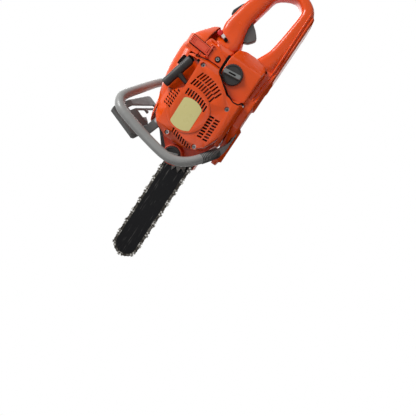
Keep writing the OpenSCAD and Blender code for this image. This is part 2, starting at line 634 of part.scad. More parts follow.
// The cutting edge leads at the top's front; the depth gauge stands before it
module cutter_profile() polygon([[-7.4, -1.2], [-8.4, 5.7], [-1.2, 6.4], [-2.2, 2],
    [0.8, 0.8], [2.6, 5.3], [6.4, 4.7], [7.5, 0.6], [7.4, -1.2], [6.2, -3.5], [-6.2, -3.5]]);
module cutter_top(k, y0, y1) xz(bar_plane + y0, bar_plane + y1) at_link(k)
    polygon([[-8.4, 5.7], [-1.2, 6.4], [-1.4, 5.2], [-8.2, 4.5]]);
module left_cutters() color("lightgray") for (i = [0:4:link_count - 1]) let (k = 2 * i + 1) {
    left_strap(k) cutter_profile();
    cutter_top(k, -strap_in - 0.4, strap_out);
}
module right_cutters() color("lightgray") for (i = [2:4:link_count - 1]) let (k = 2 * i + 1) {
    right_strap(k) cutter_profile();
    cutter_top(k, -strap_out, strap_in + 0.4);
}
module spiked_bumper() color("dimgray") {
    difference() {
        translate([110, -46, 72]) cube([3, 44, 24]);
        for (y = [-34, -12]) translate([109, y, 84]) rotate([0, 90, 0]) cylinder(h = 5, r = 2.6);
    }
    xz(-46, -43) polygon([[110, 66], [110, 112], [114, 120], [124, 122], [119, 112], [133, 108],
        [121, 100], [136, 92], [122, 87], [134, 76], [119, 74], [124, 62], [114, 64]]);
}
module chain_catcher() color("gray") xz(-60, case_right_y) difference() {
    soft(3) polygon([[44, 40], [44, 48], [66, 48], [70, 42], [64, 36], [52, 36]]);
    translate([52, 43]) circle(2.6);
}
module chain_tensioner() color("silver") {
    rod_y(101, bar_z + 13, -57, -46.5, 2.5);
    translate([92, -49.5, bar_z + 13]) rotate([0, 90, 0]) cylinder(h = 17, r = 2);
    translate([108, -49.5, bar_z + 13]) rotate([0, 90, 0]) cylinder(h = 2, r = 3);
}

// ---- exhaust and intake ----
module muffler() color("black") difference() {
    xz(-38, 26) soft(4) polygon([[port_x, 106], [port_x, 168], [58, 166], [67, 152], [101, 124],
        [106, 106]]);
    xz(-36, 24) soft(3) polygon([[port_x + 2, 108], [port_x + 2, 166], [57, 164], [65.5, 151],
        [99, 123], [104, 108]]);
    yz(port_x - 1, port_x + 4) slot(0, deck_z + 12, 22, 9);
    translate([70, 0, 130]) rotate([0, 52, 0]) translate([-12, -30, 0]) for (i = [0:3])
        translate([0, i * 6, -1]) cube([20, 3, 30]);
}
module carburettor() color("silver") difference() {
    union() {
        translate([-100, -18, intake_z - 15]) cube([34, 36, 31]);
        rod_y(-84, intake_z, -24, 24, 4);
        translate([-90, -24, intake_z - 7]) cube([12, 3, 14]);
        rod_y(-90, intake_z + 9, -27, -17, 3);
    }
    translate([-101, 0, intake_z]) rotate([0, 90, 0]) cylinder(h = 40, r = 8);
}
module intake_boot() color("black") difference() {
    union() {
        yz(-48, -port_x) slot(0, intake_z, 30, 20);
        translate([-64, 0, intake_z]) rotate([0, 90, 0]) cylinder(h = 18, r = 12);
        for (x = [-60, -55]) translate([x, 0, intake_z]) rotate([0, 90, 0])
            cylinder(h = 2.4, r = 14);
        yz(-66, -62) slot(0, intake_z, 34, 30);
    }
    translate([-67, 0, intake_z]) rotate([0, 90, 0]) cylinder(h = 40, r = 8);
}
module intake_plan(g) offset(delta = -g) soft(5) polygon([[-68, -50], [-106, -50], [-106, -58],
    [-140, -58], [-152, -46], [-152, 46], [-140, 58], [-108, 58], [-104, 54], [-68, 34]]);
module intake_housing() color("orangered") difference() {
    union() {
        difference() {
            translate([0, 0, 99]) linear_extrude(seam_z - 99) intake_plan(0);
            translate([0, 0, 99 + cover_wall]) linear_extrude(80) intake_plan(cover_wall);
        }
        translate([-103, -40, 100]) cube([3, 72, 78]);
        for (y = [-30, 10]) translate([-70, y, 102]) cube([8, 12, 12]);
        for (m = [-1, 1]) for (x = [latch_x - 14, latch_x + 11.3])
            translate([x, m > 0 ? cover_side_y - 1 : -cover_side_y - 5, hinge_z - 4])
                cube([2.7, 6, 8]);
    }
    translate([-104, 0, intake_z]) rotate([0, 90, 0]) cylinder(h = 10, r = 8);
    for (x = [-153, -104]) translate([x, 0, rod_z]) rotate([0, 90, 0]) cylinder(h = 6, r = 1.68);
    translate([-72, -20, intake_z - 18]) cube([10, 40, 60]);
    for (m = [-1, 1]) translate([-140, m * (cover_side_y + 2.2), hinge_z]) rotate([0, 90, 0])
        cylinder(h = 40, r = 1.6 + fit);
    rod_y(-120, 117, cover_side_y - 1.5, 80, 6);
    rod_y(-120, 117, 40, 80, 2.4);
}
module air_filter() color("khaki") difference() {
    union() {
        translate([-146, -33, 138]) cube([43, 66, 54]);
        for (i = [0:6]) translate([-148, -30.5 + i * 9, 141]) cube([8, 7, 48]);
    }
    translate([-138, -27, 143]) cube([33, 54, 43]);
    translate([-106, 0, intake_z]) rotate([0, 90, 0]) cylinder(h = 8, r = 8);
}

// ---- covers ----
// Rows: x, left half width, right half width, crown height, height where the sides round over
cover_rows = [[64, 30, 30, 180, 150], [60, 36, 36, 186, 150], [44, 49, 53, 189.5, 150],
    [20, 54, 59, 192.5, 152], [-8, 57, 63, 199.5, 155], [-30, 58, 64, 205.5, 158],
    [-50, 58, 64, 209, 160], [-75, 58, 64, 211, 162], [-95, 58, 62, 211, 164],
    [-110, 58, 58, 210, 164], [-128, 58, 58, 206.5, 164], [-146, 54, 54, 200, 160],
    [-160, 46, 46, 190, 155], [-172, 36, 36, 182, 150], [-182, 27, 27, 174, 145],
    [-187, 22, 22, 165, 140]];
function arch_ring(r, n) = let (w = (r[1] + r[2]) / 2, mid = (r[1] - r[2]) / 2) concat(
    [for (j = [0:n]) let (a = 180 * j / n) [r[0], mid + w * sign(cos(a)) * pow(abs(cos(a)), 0.7),
        r[4] + (r[3] - r[4]) * pow(abs(sin(a)), 0.9)]],
    [[r[0], mid - w, 100], [r[0], mid + w, 100]]);
// Form of the top cover, drawn in by g
function cover_row(i, g) = let (r = cover_rows[i])
    [r[0] - (i == 0 ? g : 0) + (i == len(cover_rows) - 1 ? g : 0), r[1] - g, r[2] - g, r[3] - g,
        r[4]];
module top_form(g) let (rings = [for (r = smooth([for (i = [0:len(cover_rows) - 1])
    cover_row(i, g)], 2)) arch_ring(r, 18)])
    polyhedron(points = [for (q = rings) each q], faces = skin_faces(len(rings), 21));
module latch_seat() yz(-139, -110) polygon([[49, seam_z], [58, seam_z], [58, 189], [45, 198],
    [45, 190], [49, 186]]);
module top_cover() color("orangered") difference() {
    union() {
        difference() {
            top_form(0);
            top_form(cover_wall);
        }
        latch_seat();
        mirror([0, 1, 0]) latch_seat();
    }
    translate([-200, -100, 0]) cube([300, 200, 152]);
    translate([-200, -100, 0]) cube([96, 200, seam_z]);
    translate([-105, 20, 0]) cube([200, 100, 174]);
    translate([20, -100, 0]) cube([100, 200, 178]);
}
module latch_body(m) {
    y0 = m > 0 ? cover_side_y + seat : -cover_side_y - 4.2;
    x0 = latch_x;
    xz(y0, y0 + 3.9) translate([x0, 163]) soft(4) square([22, 50], center = true);
    translate([x0 - 14, m * (cover_side_y + 2.2), hinge_z]) rotate([0, 90, 0])
        cylinder(h = 28, r = 1.6);
    translate([x0 - 10.8, m * (cover_side_y + 2.2), hinge_z]) rotate([0, 90, 0])
        cylinder(h = 21.6, r = 2.1);
    xz(m > 0 ? y0 + 3.8 : y0 - 2, m > 0 ? y0 + 5.9 : y0 + 0.1) for (i = [0:2])
        slot(x0, 176 + i * 4, 16, 1.8);
}
module latch_left() color("dimgray") latch_body(1);
module latch_right() color("dimgray") latch_body(-1);

// ---- sweeps ----
// Skin over rings of n points each; both ends closed by fans
function skin_faces(count, n) = concat(
    [for (i = [0:count - 2]) for (j = [0:n - 1]) [i * n + j, i * n + (j + 1) % n,
        (i + 1) * n + j]],
    [for (i = [0:count - 2]) for (j = [0:n - 1]) [i * n + (j + 1) % n,
        (i + 1) * n + (j + 1) % n, (i + 1) * n + j]],
    [[for (j = [n - 1:-1:0]) j]],
    [[for (j = [0:n - 1]) (count - 1) * n + j]]);
// Rounded-box exponent curve: value of one axis for angle a
function squircle(v) = sign(v) * pow(abs(v), 0.6);
// Smooth curve through rows of values; m steps between two rows
function blend(a, b, c, d, t) = 0.5 * (2 * b + (c - a) * t + (2 * a - 5 * b + 4 * c - d) * t * t
    + (3 * b - a - 3 * c + d) * t * t * t);
function smooth(rows, m) = concat([for (i = [0:len(rows) - 2]) for (k = [0:m - 1])
    blend(rows[max(i - 1, 0)], rows[i], rows[i + 1], rows[min(i + 2, len(rows) - 1)], k / m)],
    [rows[len(rows) - 1]]);

// ---- tank unit ----
// Rows: outer x, z, inner x, z, half width, middle y
loop_rows = [[-153, 156.5, -153, 98, 40, 0], [-170, 156.5, -168, 95, 31, 0],
    [-187, 156.6, -184, 99, 22, 0], [-204, 159, -202, 104, grip_w / 2, 0],
    [-232, 152, -230, 106, grip_w / 2, 0], [-262, 143.5, -254, 101, grip_w / 2, 0],
    [-291, 128, -277, 95, grip_w / 2, 0], [-315, 105, -297, 90, 17, 0],
    [-330, 80, -309, 74, 17, 0], [-336, 56, -315.5, 56, 18, 0], [-332, 34, -311.5, 43, 20, 0],
    [-321, 13, -304, 34, 21, 0], [-303, 2, -295, 31, 22, 0], [-270, 1, -265, 34, 22, 0],
    [-235, 1, -235, 38, 22, 0], [-205, 3, -203, 44, 22, 0], [-184, 8, -183, 54, 23, 0],
    [-160, 14, -163, 64, 24, 0]];
function loop_ring(r, n) = let (cx = (r[0] + r[2]) / 2, cz = (r[1] + r[3]) / 2,
        ux = (r[0] - r[2]) / 2, uz = (r[1] - r[3]) / 2)
    [for (j = [0:n - 1]) let (a = 360 * (j + 0.5) / n, h = squircle(sin(a)))
        [cx + ux * h, r[5] + r[4] * squircle(cos(a)), cz + uz * h]];
module handle_loop() let (rings = [for (r = smooth(loop_rows, 2)) loop_ring(r, 16)])
    polyhedron(points = [for (g = rings) each g], faces = skin_faces(len(rings), 16));

module tank_side() soft(6) polygon([[-75, 20], [-68, 36], [-68, 56], [-84, 78], [-103, 96],
    [-165, 96], [-173, 80], [-173, 58], [-165, 28], [-152, 20]]);
module tank_plan() soft(6) polygon([[-60, -55], [-60, tank_y], [-138, tank_y], [-173, 26],
    [-173, -22], [-150, -55]]);
module tank_form(g) intersection() {
    xz(-60, tank_y - g) offset(delta = -g) tank_side();
    linear_extrude(120) offset(delta = -g) tank_plan();
}
module floor_plan() soft(6) polygon([[-90, -48], [-90, 60], [-26, 60], [66, -8], [66, -30],
    [60, -48]]);
module tank_unit() color("orangered") difference() {
    union() {
        tank_form(0);
        handle_loop();
        intersection() {
            yz(-306, -150) polygon([[20, 16], [10, 0], [-58, 0], [-64, 6], [-60, 13], [-30, 20]]);
            linear_extrude(40) soft(14) polygon([[-306, 21], [-306, -40], [-290, -64],
                [-190, -64], [-150, -50], [-150, 21]]);
        }
        translate([0, 0, floor_z]) linear_extrude(floor_t) floor_plan();
        // Beam under the tank, and the rim that carries its side on below the starter
        translate([0, 0, beam_z]) linear_extrude(20.8 - beam_z) soft(4) polygon([[-164, 22],
            [-84, 60], [-84, -47], [-148, -47], [-164, -38]]);
        translate([0, 0, beam_z]) linear_extrude(14) polygon([[-92, 60], [-26, 60], [-6, 45.2],
            [-9.6, 40.8], [-28, 54], [-92, 54]]);
        xz(-48, 60) polygon([[-92, 6], [-92, 24], [-76, 24], [-70, 6]]);
        xz(arm_right_y, -54) soft(4) polygon([[-104, 40], [-76, 40], [-62, 96], [-52, 112],
            [-52, 138], [-80, 138], [-84, 116], [-104, 84]]);
        translate([-142, -46, 0]) cylinder(h = 24, r = 8);
        for (y = [-42, -8]) translate([-34, y, 0]) cube([88, 10, floor_z + 1]);
    }
    tank_form(tank_wall);
    rod_y(fuel_cap_at[0], fuel_cap_at[1], tank_y - 9, tank_y + 1, 15);
    // Slots of the trigger and of the lockout
    xz(-8, 8) polygon([[-242, 90], [-242, 131], [-206, 138], [-184, 138], [-184, 90]]);
    xz(-6, 6) polygon([[-271, 126], [-271, 160], [-218, 170], [-218, 132], [-252, 122]]);
    translate([-190, 0, rod_z]) rotate([0, 90, 0]) cylinder(h = 50, r = 1.68);
    rod_y(trigger_pin[0], trigger_pin[1], -15, 15, pin_d / 2);
    rod_y(lockout_pin[0], lockout_pin[1], -15, 15, pin_d / 2);
    for (p = floor_screws) translate([p[0], p[1], -1]) cylinder(h = 30, r = 2.6);
    rod_y(arm_screw[0], arm_screw[1], -70, -50, 2.6);
    translate([choke_at[0], choke_at[1] - 12, choke_at[2]]) rotate([-90, 0, 0])
        cylinder(h = 40, r = 4 + fit);
}
floor_screws = [[4, 25.3], [-8, 17]];
arm_screw = [-66, 122];
choke_at = [-172, 17, 148];

// ---- front handle ----
// Rows: x, y, z, half height, half width of the section
tube_r = tube_d / 2;
tube_rows = [[-14, 13, 3.1, 2.7, 11], [2, 24, 3.1, 2.7, 11], [15, 33, 3.2, 2.8, 11.5],
    [34, 50, 9, 7.5, 12], [50, 68, 19, tube_r, tube_r], [68, 86, 31, tube_r, tube_r],
    [86, 98, 48, tube_r, tube_r], [98, 104, 72, tube_r, tube_r],
    [99, 105, 102, tube_r, tube_r], [88, 105, 158, tube_r, tube_r],
    [76, 105, 205, tube_r, tube_r], [69, 101, 224, tube_r, tube_r],
    [58, 89, tube_top_z - 4, tube_r, tube_r], [43, 70, tube_top_z, tube_r, tube_r],
    [9, 0, tube_top_z, tube_r, tube_r], [-20, -64, tube_top_z, tube_r, tube_r],
    [-29, -83, tube_top_z - 5, tube_r, tube_r], [-36, -93, tube_top_z - 20, tube_r, tube_r],
    [-41, -93, 205, tube_r, tube_r], [-57, -82, 155, tube_r, tube_r],
    [-65, -78, 132, tube_r, tube_r], [-66, -76.5, 116, 9, tube_r]];
function cross_unit(a, b) = cross(a, b) / norm(cross(a, b));
function tube_ring(rows, i, n) = let (lo = rows[max(i - 1, 0)], hi = rows[min(i + 1,
        len(rows) - 1)], t = [hi[0] - lo[0], hi[1] - lo[1], hi[2] - lo[2]],
        u = cross_unit(t, [1, -0.3, 0]), v = cross_unit(u, t), r = rows[i])
    [for (j = [0:n - 1]) [r[0], r[1], r[2]] + r[3] * cos(360 * j / n) * u
        + r[4] * sin(360 * j / n) * v];
module front_handle() color("gray") difference() {
    union() {
        let (rows = smooth(tube_rows, 3), rings = [for (i = [0:len(rows) - 1])
            tube_ring(rows, i, 14)])
            polyhedron(points = [for (g = rings) each g], faces = skin_faces(len(rings), 14));
        xz(arm_right_y - 4, arm_right_y) soft(4) polygon([[-78, 108], [-78, 136], [-54, 136],
            [-54, 108]]);
    }
    for (p = floor_screws) translate([p[0], p[1], -6]) {
        cylinder(h = 20, r = 2.6);
        cylinder(h = 8.2, r = 4.8);
    }
    rod_y(arm_screw[0], arm_screw[1], -100, arm_right_y + 1, 2.6);
    rod_y(arm_screw[0], arm_screw[1], -100, arm_right_y - 12, 5);
}
module handle_screws() color("silver") {
    for (p = floor_screws) translate([p[0], p[1], 0.2]) {
        cylinder(h = 17.8, r = 2.5);
        cylinder(h = 2, r = 4.5);
    }
    rod_y(arm_screw[0], arm_screw[1], arm_right_y - 12, -55, 2.5);
    rod_y(arm_screw[0], arm_screw[1], arm_right_y - 16, arm_right_y - 12, 4.5);
}

// ---- hand guard and chain brake ----
// Plan of the guard's plate, in the frame that leans with it
module guard_plate(w0, w1, t) translate([guard_pivot[0], 0, guard_pivot[1]])
    rotate([0, -guard_lean, 0]) translate([0, 0, w0]) linear_extrude(w1 - w0)
        polygon([[62, 72], [64 + t, 68], [26 + t, 32], [12 + t, -20], [-4 + t, -78.6],
            [-4, -78.6], [12, -20], [26, 32], [60, 71]]);
module guard_window(y, len, w, h) translate([guard_pivot[0], y, guard_pivot[1]])
    rotate([0, -guard_lean, 0]) translate([-40, 0, w]) cube([110, len, h]);
module hand_guard() color("dimgray") difference() {
    union() {
        intersection() {
            guard_plate(0, 97, guard_t);
            yz(-60, 140) soft(6) polygon([[-78.6, 176], [-78.6, 243], [-66, 246], [30, 242],
                [60, 250], [74, 250], [74, 190], [57, 166], [46, 168], [24, 182], [14, 195],
                [0, 204], [-56, 208], [-61, 184], [-66, 176]]);
        }
        xz(guard_arm_y, guard_arm_y + guard_arm_t) soft(3) polygon([[42, 152], [46, 147],
            [56, 146], [84, 156], [100, 168], [100, 186], [86, 186], [74, 172], [56, 166],
            [45, 163]]);
        xz(-78.6, -72.3) soft(3) polygon([[42, 154], [45, 148], [56, 147], [62, 153],
            [50, 185], [42, 200], [24, 204], [20, 190]]);
    }
    for (y = [guard_arm_y - 1, -79.6]) rod_y(guard_pivot[0], guard_pivot[1], y, y + 9, 3 + fit);
    // One long slot below the blade, and two windows below the slot
    guard_window(-64, 108, 59, 8);
    guard_window(-54, 40, 46, 8);
    guard_window(-6, 36, 34, 20);
}
module guard_screws() color("silver") {
    rod_y(guard_pivot[0], guard_pivot[1], case_left_y, guard_arm_y + guard_arm_t + 0.3, 2.98);
    rod_y(guard_pivot[0], guard_pivot[1], guard_arm_y + guard_arm_t + 0.3,
        guard_arm_y + guard_arm_t + 3.5, 6.5);
    rod_y(guard_pivot[0], guard_pivot[1], -78.9, -61, 2.98);
    rod_y(guard_pivot[0], guard_pivot[1], -82, -78.9, 6.5);
}

// ---- buffers, caps and controls ----
module av_buffers() color("black") {
    for (y = [-24, 16]) translate([0, y, floor_z + floor_t]) cylinder(h = 6, r = 8);
    for (y = [-24, 12]) translate([-68, y, 46]) rotate([0, 90, 0]) cylinder(h = 6, r = 8);
}
module screw_cap(p, y, d, neck) {
    rod_y(p[0], p[1], y, y + 6, d / 2);
    rod_y(p[0], p[1], y + 6, y + 8, d / 2 - 2);
    rod_y(p[0], p[1], y - 8, y, neck - 0.1);
    xz(y + 7, y + 12) translate(p) rotate(78) soft(3)
        square([d - 6, 9], center = true);
    for (a = [0:30:330]) xz(y, y + 5) translate(p) rotate(a) translate([d / 2 - 1, -1.5])
        square([2, 3]);
}
module fuel_cap() color("dimgray") screw_cap(fuel_cap_at, tank_y, fuel_cap_d, 15);
module oil_cap() color("dimgray") screw_cap(oil_cap_at, oil_boss_y, oil_cap_d, oil_cap_d / 2 - 4);
module throttle_trigger() color("darkslategray") xz(-7, 7) difference() {
    union() {
        translate(trigger_pin) circle(6);
        soft(2) polygon([[-191, 128], [-189.5, 112], [-196, 98], [-203, 85], [-209, 82], [-213, 85],
            [-216, 95], [-224, 101], [-236, 103], [-236, 112], [-214, 116], [-204, 133]]);
    }
    translate(trigger_pin) circle(pin_d / 2 + fit);
}
module throttle_lockout() color("darkslategray") xz(-5.4, 5.4) difference() {
    union() {
        translate(lockout_pin) circle(6);
        soft(2) polygon([[-268, 130], [-266, 140], [-252, 150], [-234, 159], [-225, 158],
            [-223, 151], [-234, 144], [-250, 137], [-256, 128]]);
    }
    translate(lockout_pin) circle(pin_d / 2 + fit);
}
module control_pins() color("silver") for (p = [trigger_pin, lockout_pin])
    rod_y(p[0], p[1], -15, 15, pin_d / 2 - 0.01);
module throttle_rod() color("silver") {
    translate([-187.5, 0, rod_z]) rotate([0, 90, 0]) cylinder(h = 80, r = 1.6);
}
module choke_control() color("red") translate([choke_at[0], 0, choke_at[2]]) {
    rod_y(0, 0, choke_at[1] - 12, choke_at[1] + 16, 4);
    rod_y(0, 0, choke_at[1] + 16, choke_at[1] + 19, 7);
    xz(choke_at[1] + 16, choke_at[1] + 22) slot(0, 0, 4, 16);
}

crankcase_left();
crankcase_right();
engine_cylinder();
piston();
connecting_rod();
crankshaft();
crank_bearings();
flywheel();
ignition_coil();
spark_plug();
plug_cap();
starter_cover();
side_plate();
recoil_spring();
rope_pulley();
rope_lead();
starter_rope();
starter_handle();
rope_bushing();
cover_screws();
clutch_hub();
clutch_drum();
brake_band();
clutch_cover();
bar_studs();
bar_nuts();
spiked_bumper();
guide_bar();
nose_sprocket();
drive_links();
tie_straps();
left_cutters();
right_cutters();
chain_catcher();
chain_tensioner();
oil_pump();
muffler();
carburettor();
intake_boot();
intake_housing();
air_filter();
top_cover();
latch_left();
latch_right();
tank_unit();
front_handle();
handle_screws();
hand_guard();
guard_screws();
av_buffers();
fuel_cap();
oil_cap();
throttle_trigger();
throttle_lockout();
control_pins();
throttle_rod();
choke_control();
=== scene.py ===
"""Looks of a petrol chainsaw for rescue work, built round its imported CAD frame.

+X runs along the guide bar, +Y to the starter side, +Z up, and the ground is z = 0. Typed places
and sizes are in millimetres, and MM turns them to Blender's metres where a mesh or a tree is made.
Moulded housings are re-skinned with soft edges; caps, latches, grips and fasteners are built here.
"""
import json
import math

import bmesh
import bpy
from mathutils import Matrix, Vector
from mathutils.bvhtree import BVHTree


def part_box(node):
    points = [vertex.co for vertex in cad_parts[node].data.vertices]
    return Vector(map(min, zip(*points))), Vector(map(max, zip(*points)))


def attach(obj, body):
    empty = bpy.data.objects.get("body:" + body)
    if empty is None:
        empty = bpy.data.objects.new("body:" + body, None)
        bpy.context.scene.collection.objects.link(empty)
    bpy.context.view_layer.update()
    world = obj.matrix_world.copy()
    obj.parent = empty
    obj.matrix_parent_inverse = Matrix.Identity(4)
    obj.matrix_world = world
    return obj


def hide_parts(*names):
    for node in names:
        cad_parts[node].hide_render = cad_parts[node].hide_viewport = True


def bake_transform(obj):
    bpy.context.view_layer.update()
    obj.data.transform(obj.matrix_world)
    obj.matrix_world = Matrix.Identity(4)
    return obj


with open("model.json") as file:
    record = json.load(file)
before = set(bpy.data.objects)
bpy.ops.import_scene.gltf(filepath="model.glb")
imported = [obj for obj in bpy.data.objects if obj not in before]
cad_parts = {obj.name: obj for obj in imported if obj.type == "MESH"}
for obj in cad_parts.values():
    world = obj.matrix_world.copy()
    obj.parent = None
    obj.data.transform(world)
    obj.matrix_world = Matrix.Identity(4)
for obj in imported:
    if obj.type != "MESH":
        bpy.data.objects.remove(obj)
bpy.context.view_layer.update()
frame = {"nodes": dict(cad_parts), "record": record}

MM = 0.001
NODES = frame["nodes"]
BODIES = frame["record"]["behaviour"]["bodies"]
BODY = {node: body for body, nodes in BODIES.items() for node in nodes}
SLOT = {entry["node"]: entry["material_slot"] for entry in frame["record"]["subparts"]}
# Sockets of a colour Mix node: its two colours and its result
COLOUR_A, COLOUR_B, MIXED = 6, 7, 2


# ---- materials ----
def linear(hex_colour):
    """sRGB hex to the linear colour that a shader takes."""
    value = [int(hex_colour[i:i + 2], 16) / 255 for i in (1, 3, 5)]
    return [v / 12.92 if v <= 0.04045 else ((v + 0.055) / 1.055) ** 2.4 for v in value] + [1.0]


def per_metre(size_mm):
    """Scale of a noise whose features are size_mm wide."""
    return 1.0 / (size_mm * MM)


def add(tree, kind, settings=None, links=None):
    """Adds a node; settings name its properties or sockets, links feed its sockets."""
    node = tree.nodes.new(kind)
    for key, value in (settings or {}).items():
        if isinstance(key, str) and key not in node.inputs:
            setattr(node, key, value)
        else:
            node.inputs[key].default_value = value
    for key, output in (links or {}).items():
        tree.links.new(output, node.inputs[key])
    return node


def finish_of(name, colour, constants):
    """A named material, its tree, its shader with constant sockets set, and its object
    coordinates."""
    made = bpy.data.materials.new(name)
    made.use_nodes = True
    tree = made.node_tree
    shader = tree.nodes["Principled BSDF"]
    shader.inputs["Base Color"].default_value = linear(colour)
    for socket, value in constants.items():
        shader.inputs[socket].default_value = value
    made.diffuse_color = linear(colour)
    place = add(tree, "ShaderNodeTexCoord").outputs["Object"]
    return made, tree, shader, place


def patchy(tree, place, size_mm, detail, turn, under, over):
    """Colour that turns from under to over in soft patches size_mm wide. turn says where in the
    noise the change starts, where it is full, and how far it goes."""
    start, full, most = turn
    patches = add(tree, "ShaderNodeTexNoise", {"Scale": per_metre(size_mm), "Detail": detail},
                  {"Vector": place})
    cover = add(tree, "ShaderNodeMapRange", {"From Min": start, "From Max": full, "To Max": most},
                {"Value": patches.outputs["Fac"]})
    mix = add(tree, "ShaderNodeMix", {"data_type": "RGBA", COLOUR_A: linear(under),
                                      COLOUR_B: linear(over)}, {0: cover.outputs["Result"]})
    return mix.outputs[MIXED]


def grainy(tree, place, shader, size_mm, detail, strength, depth_mm):
    """Grains size_mm wide and depth_mm deep in the surface."""
    grain = add(tree, "ShaderNodeTexNoise", {"Scale": per_metre(size_mm), "Detail": detail},
                {"Vector": place})
    relief = add(tree, "ShaderNodeBump", {"Strength": strength, "Distance": depth_mm * MM},
                 {"Height": grain.outputs["Fac"]})
    tree.links.new(relief.outputs["Normal"], shader.inputs["Normal"])


def moulded_polyamide(name, colour, shade, roughness, grain_mm=0.8, uneven=0.4, ior=1.46,
                      crevice_shade=0.0):
    """Injection-moulded glass-filled nylon: fine spark-eroded grain, gloss and tone uneven in soft
    patches as hands have polished it, and, on the orange pieces, painted shade: dark brown laid
    into crevices, vents and seams by ambient occlusion.
    The real grain is 0.1 mm and is drawn coarser, so that it shows."""
    made, tree, shader, place = finish_of(name, colour, {"Roughness": roughness, "IOR": ior})
    tone = patchy(tree, place, 55, 5.0, (0.42, 0.72, uneven), colour, shade)
    if crevice_shade:
        # Painted shade: ambient occlusion darkens crevices, vents and seams towards dark brown
        open_to_air = add(tree, "ShaderNodeAmbientOcclusion",
                          {"samples": 8, "only_local": True, "Distance": 8 * MM})
        crevice_darkness = add(tree, "ShaderNodeMapRange",
                     {"From Min": 0.88, "From Max": 0.5, "To Max": crevice_shade},
                     {"Value": open_to_air.outputs["AO"]})
        crevice_shaded = add(tree, "ShaderNodeMix", {"data_type": "RGBA", COLOUR_B: linear("#2A0B04")},
                    {0: crevice_darkness.outputs["Result"], COLOUR_A: tone})
        tone = crevice_shaded.outputs[MIXED]
    rubbed = add(tree, "ShaderNodeTexNoise", {"Scale": per_metre(16), "Detail": 4.0},
                 {"Vector": place})
    gloss = add(tree, "ShaderNodeMapRange",
                {"From Min": 0.3, "From Max": 0.7, "To Min": roughness - 0.06,
                 "To Max": roughness + 0.08}, {"Value": rubbed.outputs["Fac"]})
    tree.links.new(tone, shader.inputs["Base Color"])
    tree.links.new(gloss.outputs["Result"], shader.inputs["Roughness"])
    grainy(tree, place, shader, grain_mm, 2.0, 0.1, 0.1)
    return made


def powder_coat(name, colour, shade, roughness):
    """Powder-coated die casting: orange-peel ripple about 2 mm wide under a closed satin skin."""
    made, tree, shader, place = finish_of(name, colour, {"Roughness": roughness, "IOR": 1.5})
    tone = patchy(tree, place, 30, 6.0, (0.45, 0.7, 0.6), colour, shade)
    tree.links.new(tone, shader.inputs["Base Color"])
    grainy(tree, place, shader, 2, 1.0, 0.2, 0.1)
    return made


def cast_metal(name, colour, dark, roughness):
    """Die-cast aluminium: a grainy matt skin, darker in patches where oil has dried on it."""
    made, tree, shader, place = finish_of(name, colour, {"Roughness": roughness, "Metallic": 1.0})
    tone = patchy(tree, place, 20, 5.0, (0.4, 0.7, 1.0), colour, dark)
    tree.links.new(tone, shader.inputs["Base Color"])
    grainy(tree, place, shader, 1.2, 3.0, 0.3, 0.2)
    return made


def worked_steel(name, colour, stain, roughness, stained_from=0.45):
    """Machined or ground steel under a film of oil: tool streaks 0.8 mm apart and brown stains
    9 mm wide."""
    made, tree, shader, place = finish_of(name, colour, {"Roughness": roughness, "Metallic": 1.0})
    tone = patchy(tree, place, 9, 5.0, (stained_from, stained_from + 0.2, 0.85), colour, stain)
    along = add(tree, "ShaderNodeMapping", {"Scale": (0.12, 1.0, 1.0)}, {"Vector": place})
    streaks = add(tree, "ShaderNodeTexNoise", {"Scale": per_metre(0.8), "Detail": 2.0},
                  {"Vector": along.outputs["Vector"]})
    gloss = add(tree, "ShaderNodeMapRange",
                {"From Min": 0.3, "From Max": 0.7, "To Min": roughness - 0.08,
                 "To Max": roughness + 0.14}, {"Value": streaks.outputs["Fac"]})
    tree.links.new(tone, shader.inputs["Base Color"])
    tree.links.new(gloss.outputs["Result"], shader.inputs["Roughness"])
    return made


def coated_bar(name, coat, bare, roughness):
    """Laminated bar: black coated faces, scuffed along the length, with bare ground steel on the
    rails, which are the faces that don't look sideways."""
    made, tree, shader, place = finish_of(name, coat, {"Roughness": roughness, "Metallic": 1.0})
    normal = add(tree, "ShaderNodeTexCoord").outputs["Normal"]
    sideways = add(tree, "ShaderNodeVectorMath", {"operation": "DOT_PRODUCT", 1: (0, 1, 0)},
                   {0: normal})
    flat = add(tree, "ShaderNodeMath", {"operation": "ABSOLUTE"}, {0: sideways.outputs["Value"]})
    rail = add(tree, "ShaderNodeMapRange", {"From Min": 0.9, "From Max": 0.5},
               {"Value": flat.outputs[0]})
    along = add(tree, "ShaderNodeMapping", {"Scale": (0.06, 1.0, 1.0)}, {"Vector": place})
    scuffs = add(tree, "ShaderNodeTexNoise", {"Scale": per_metre(2.5), "Detail": 6.0},
                 {"Vector": along.outputs["Vector"]})
    scuffed = add(tree, "ShaderNodeMapRange", {"From Min": 0.62, "From Max": 0.78, "To Max": 0.4},
                  {"Value": scuffs.outputs["Fac"]})
    shown = add(tree, "ShaderNodeMath", {"operation": "MAXIMUM"},
                {0: rail.outputs["Result"], 1: scuffed.outputs["Result"]})
    tone = add(tree, "ShaderNodeMix", {"data_type": "RGBA", COLOUR_A: linear(coat),
                                       COLOUR_B: linear(bare)}, {0: shown.outputs[0]})
    tree.links.new(tone.outputs[MIXED], shader.inputs["Base Color"])
    return made


def soft_rubber(name, colour, dust, roughness, ior=1.52):
    """Moulded rubber: matt, with grey dust in patches and a coarse mould grain of 0.6 mm."""
    made, tree, shader, place = finish_of(name, colour, {"Roughness": roughness, "IOR": ior})
    tone = patchy(tree, place, 12, 6.0, (0.45, 0.75, 0.7), colour, dust)
    tree.links.new(tone, shader.inputs["Base Color"])
    grainy(tree, place, shader, 0.6, 2.0, 0.25, 0.15)
    return made


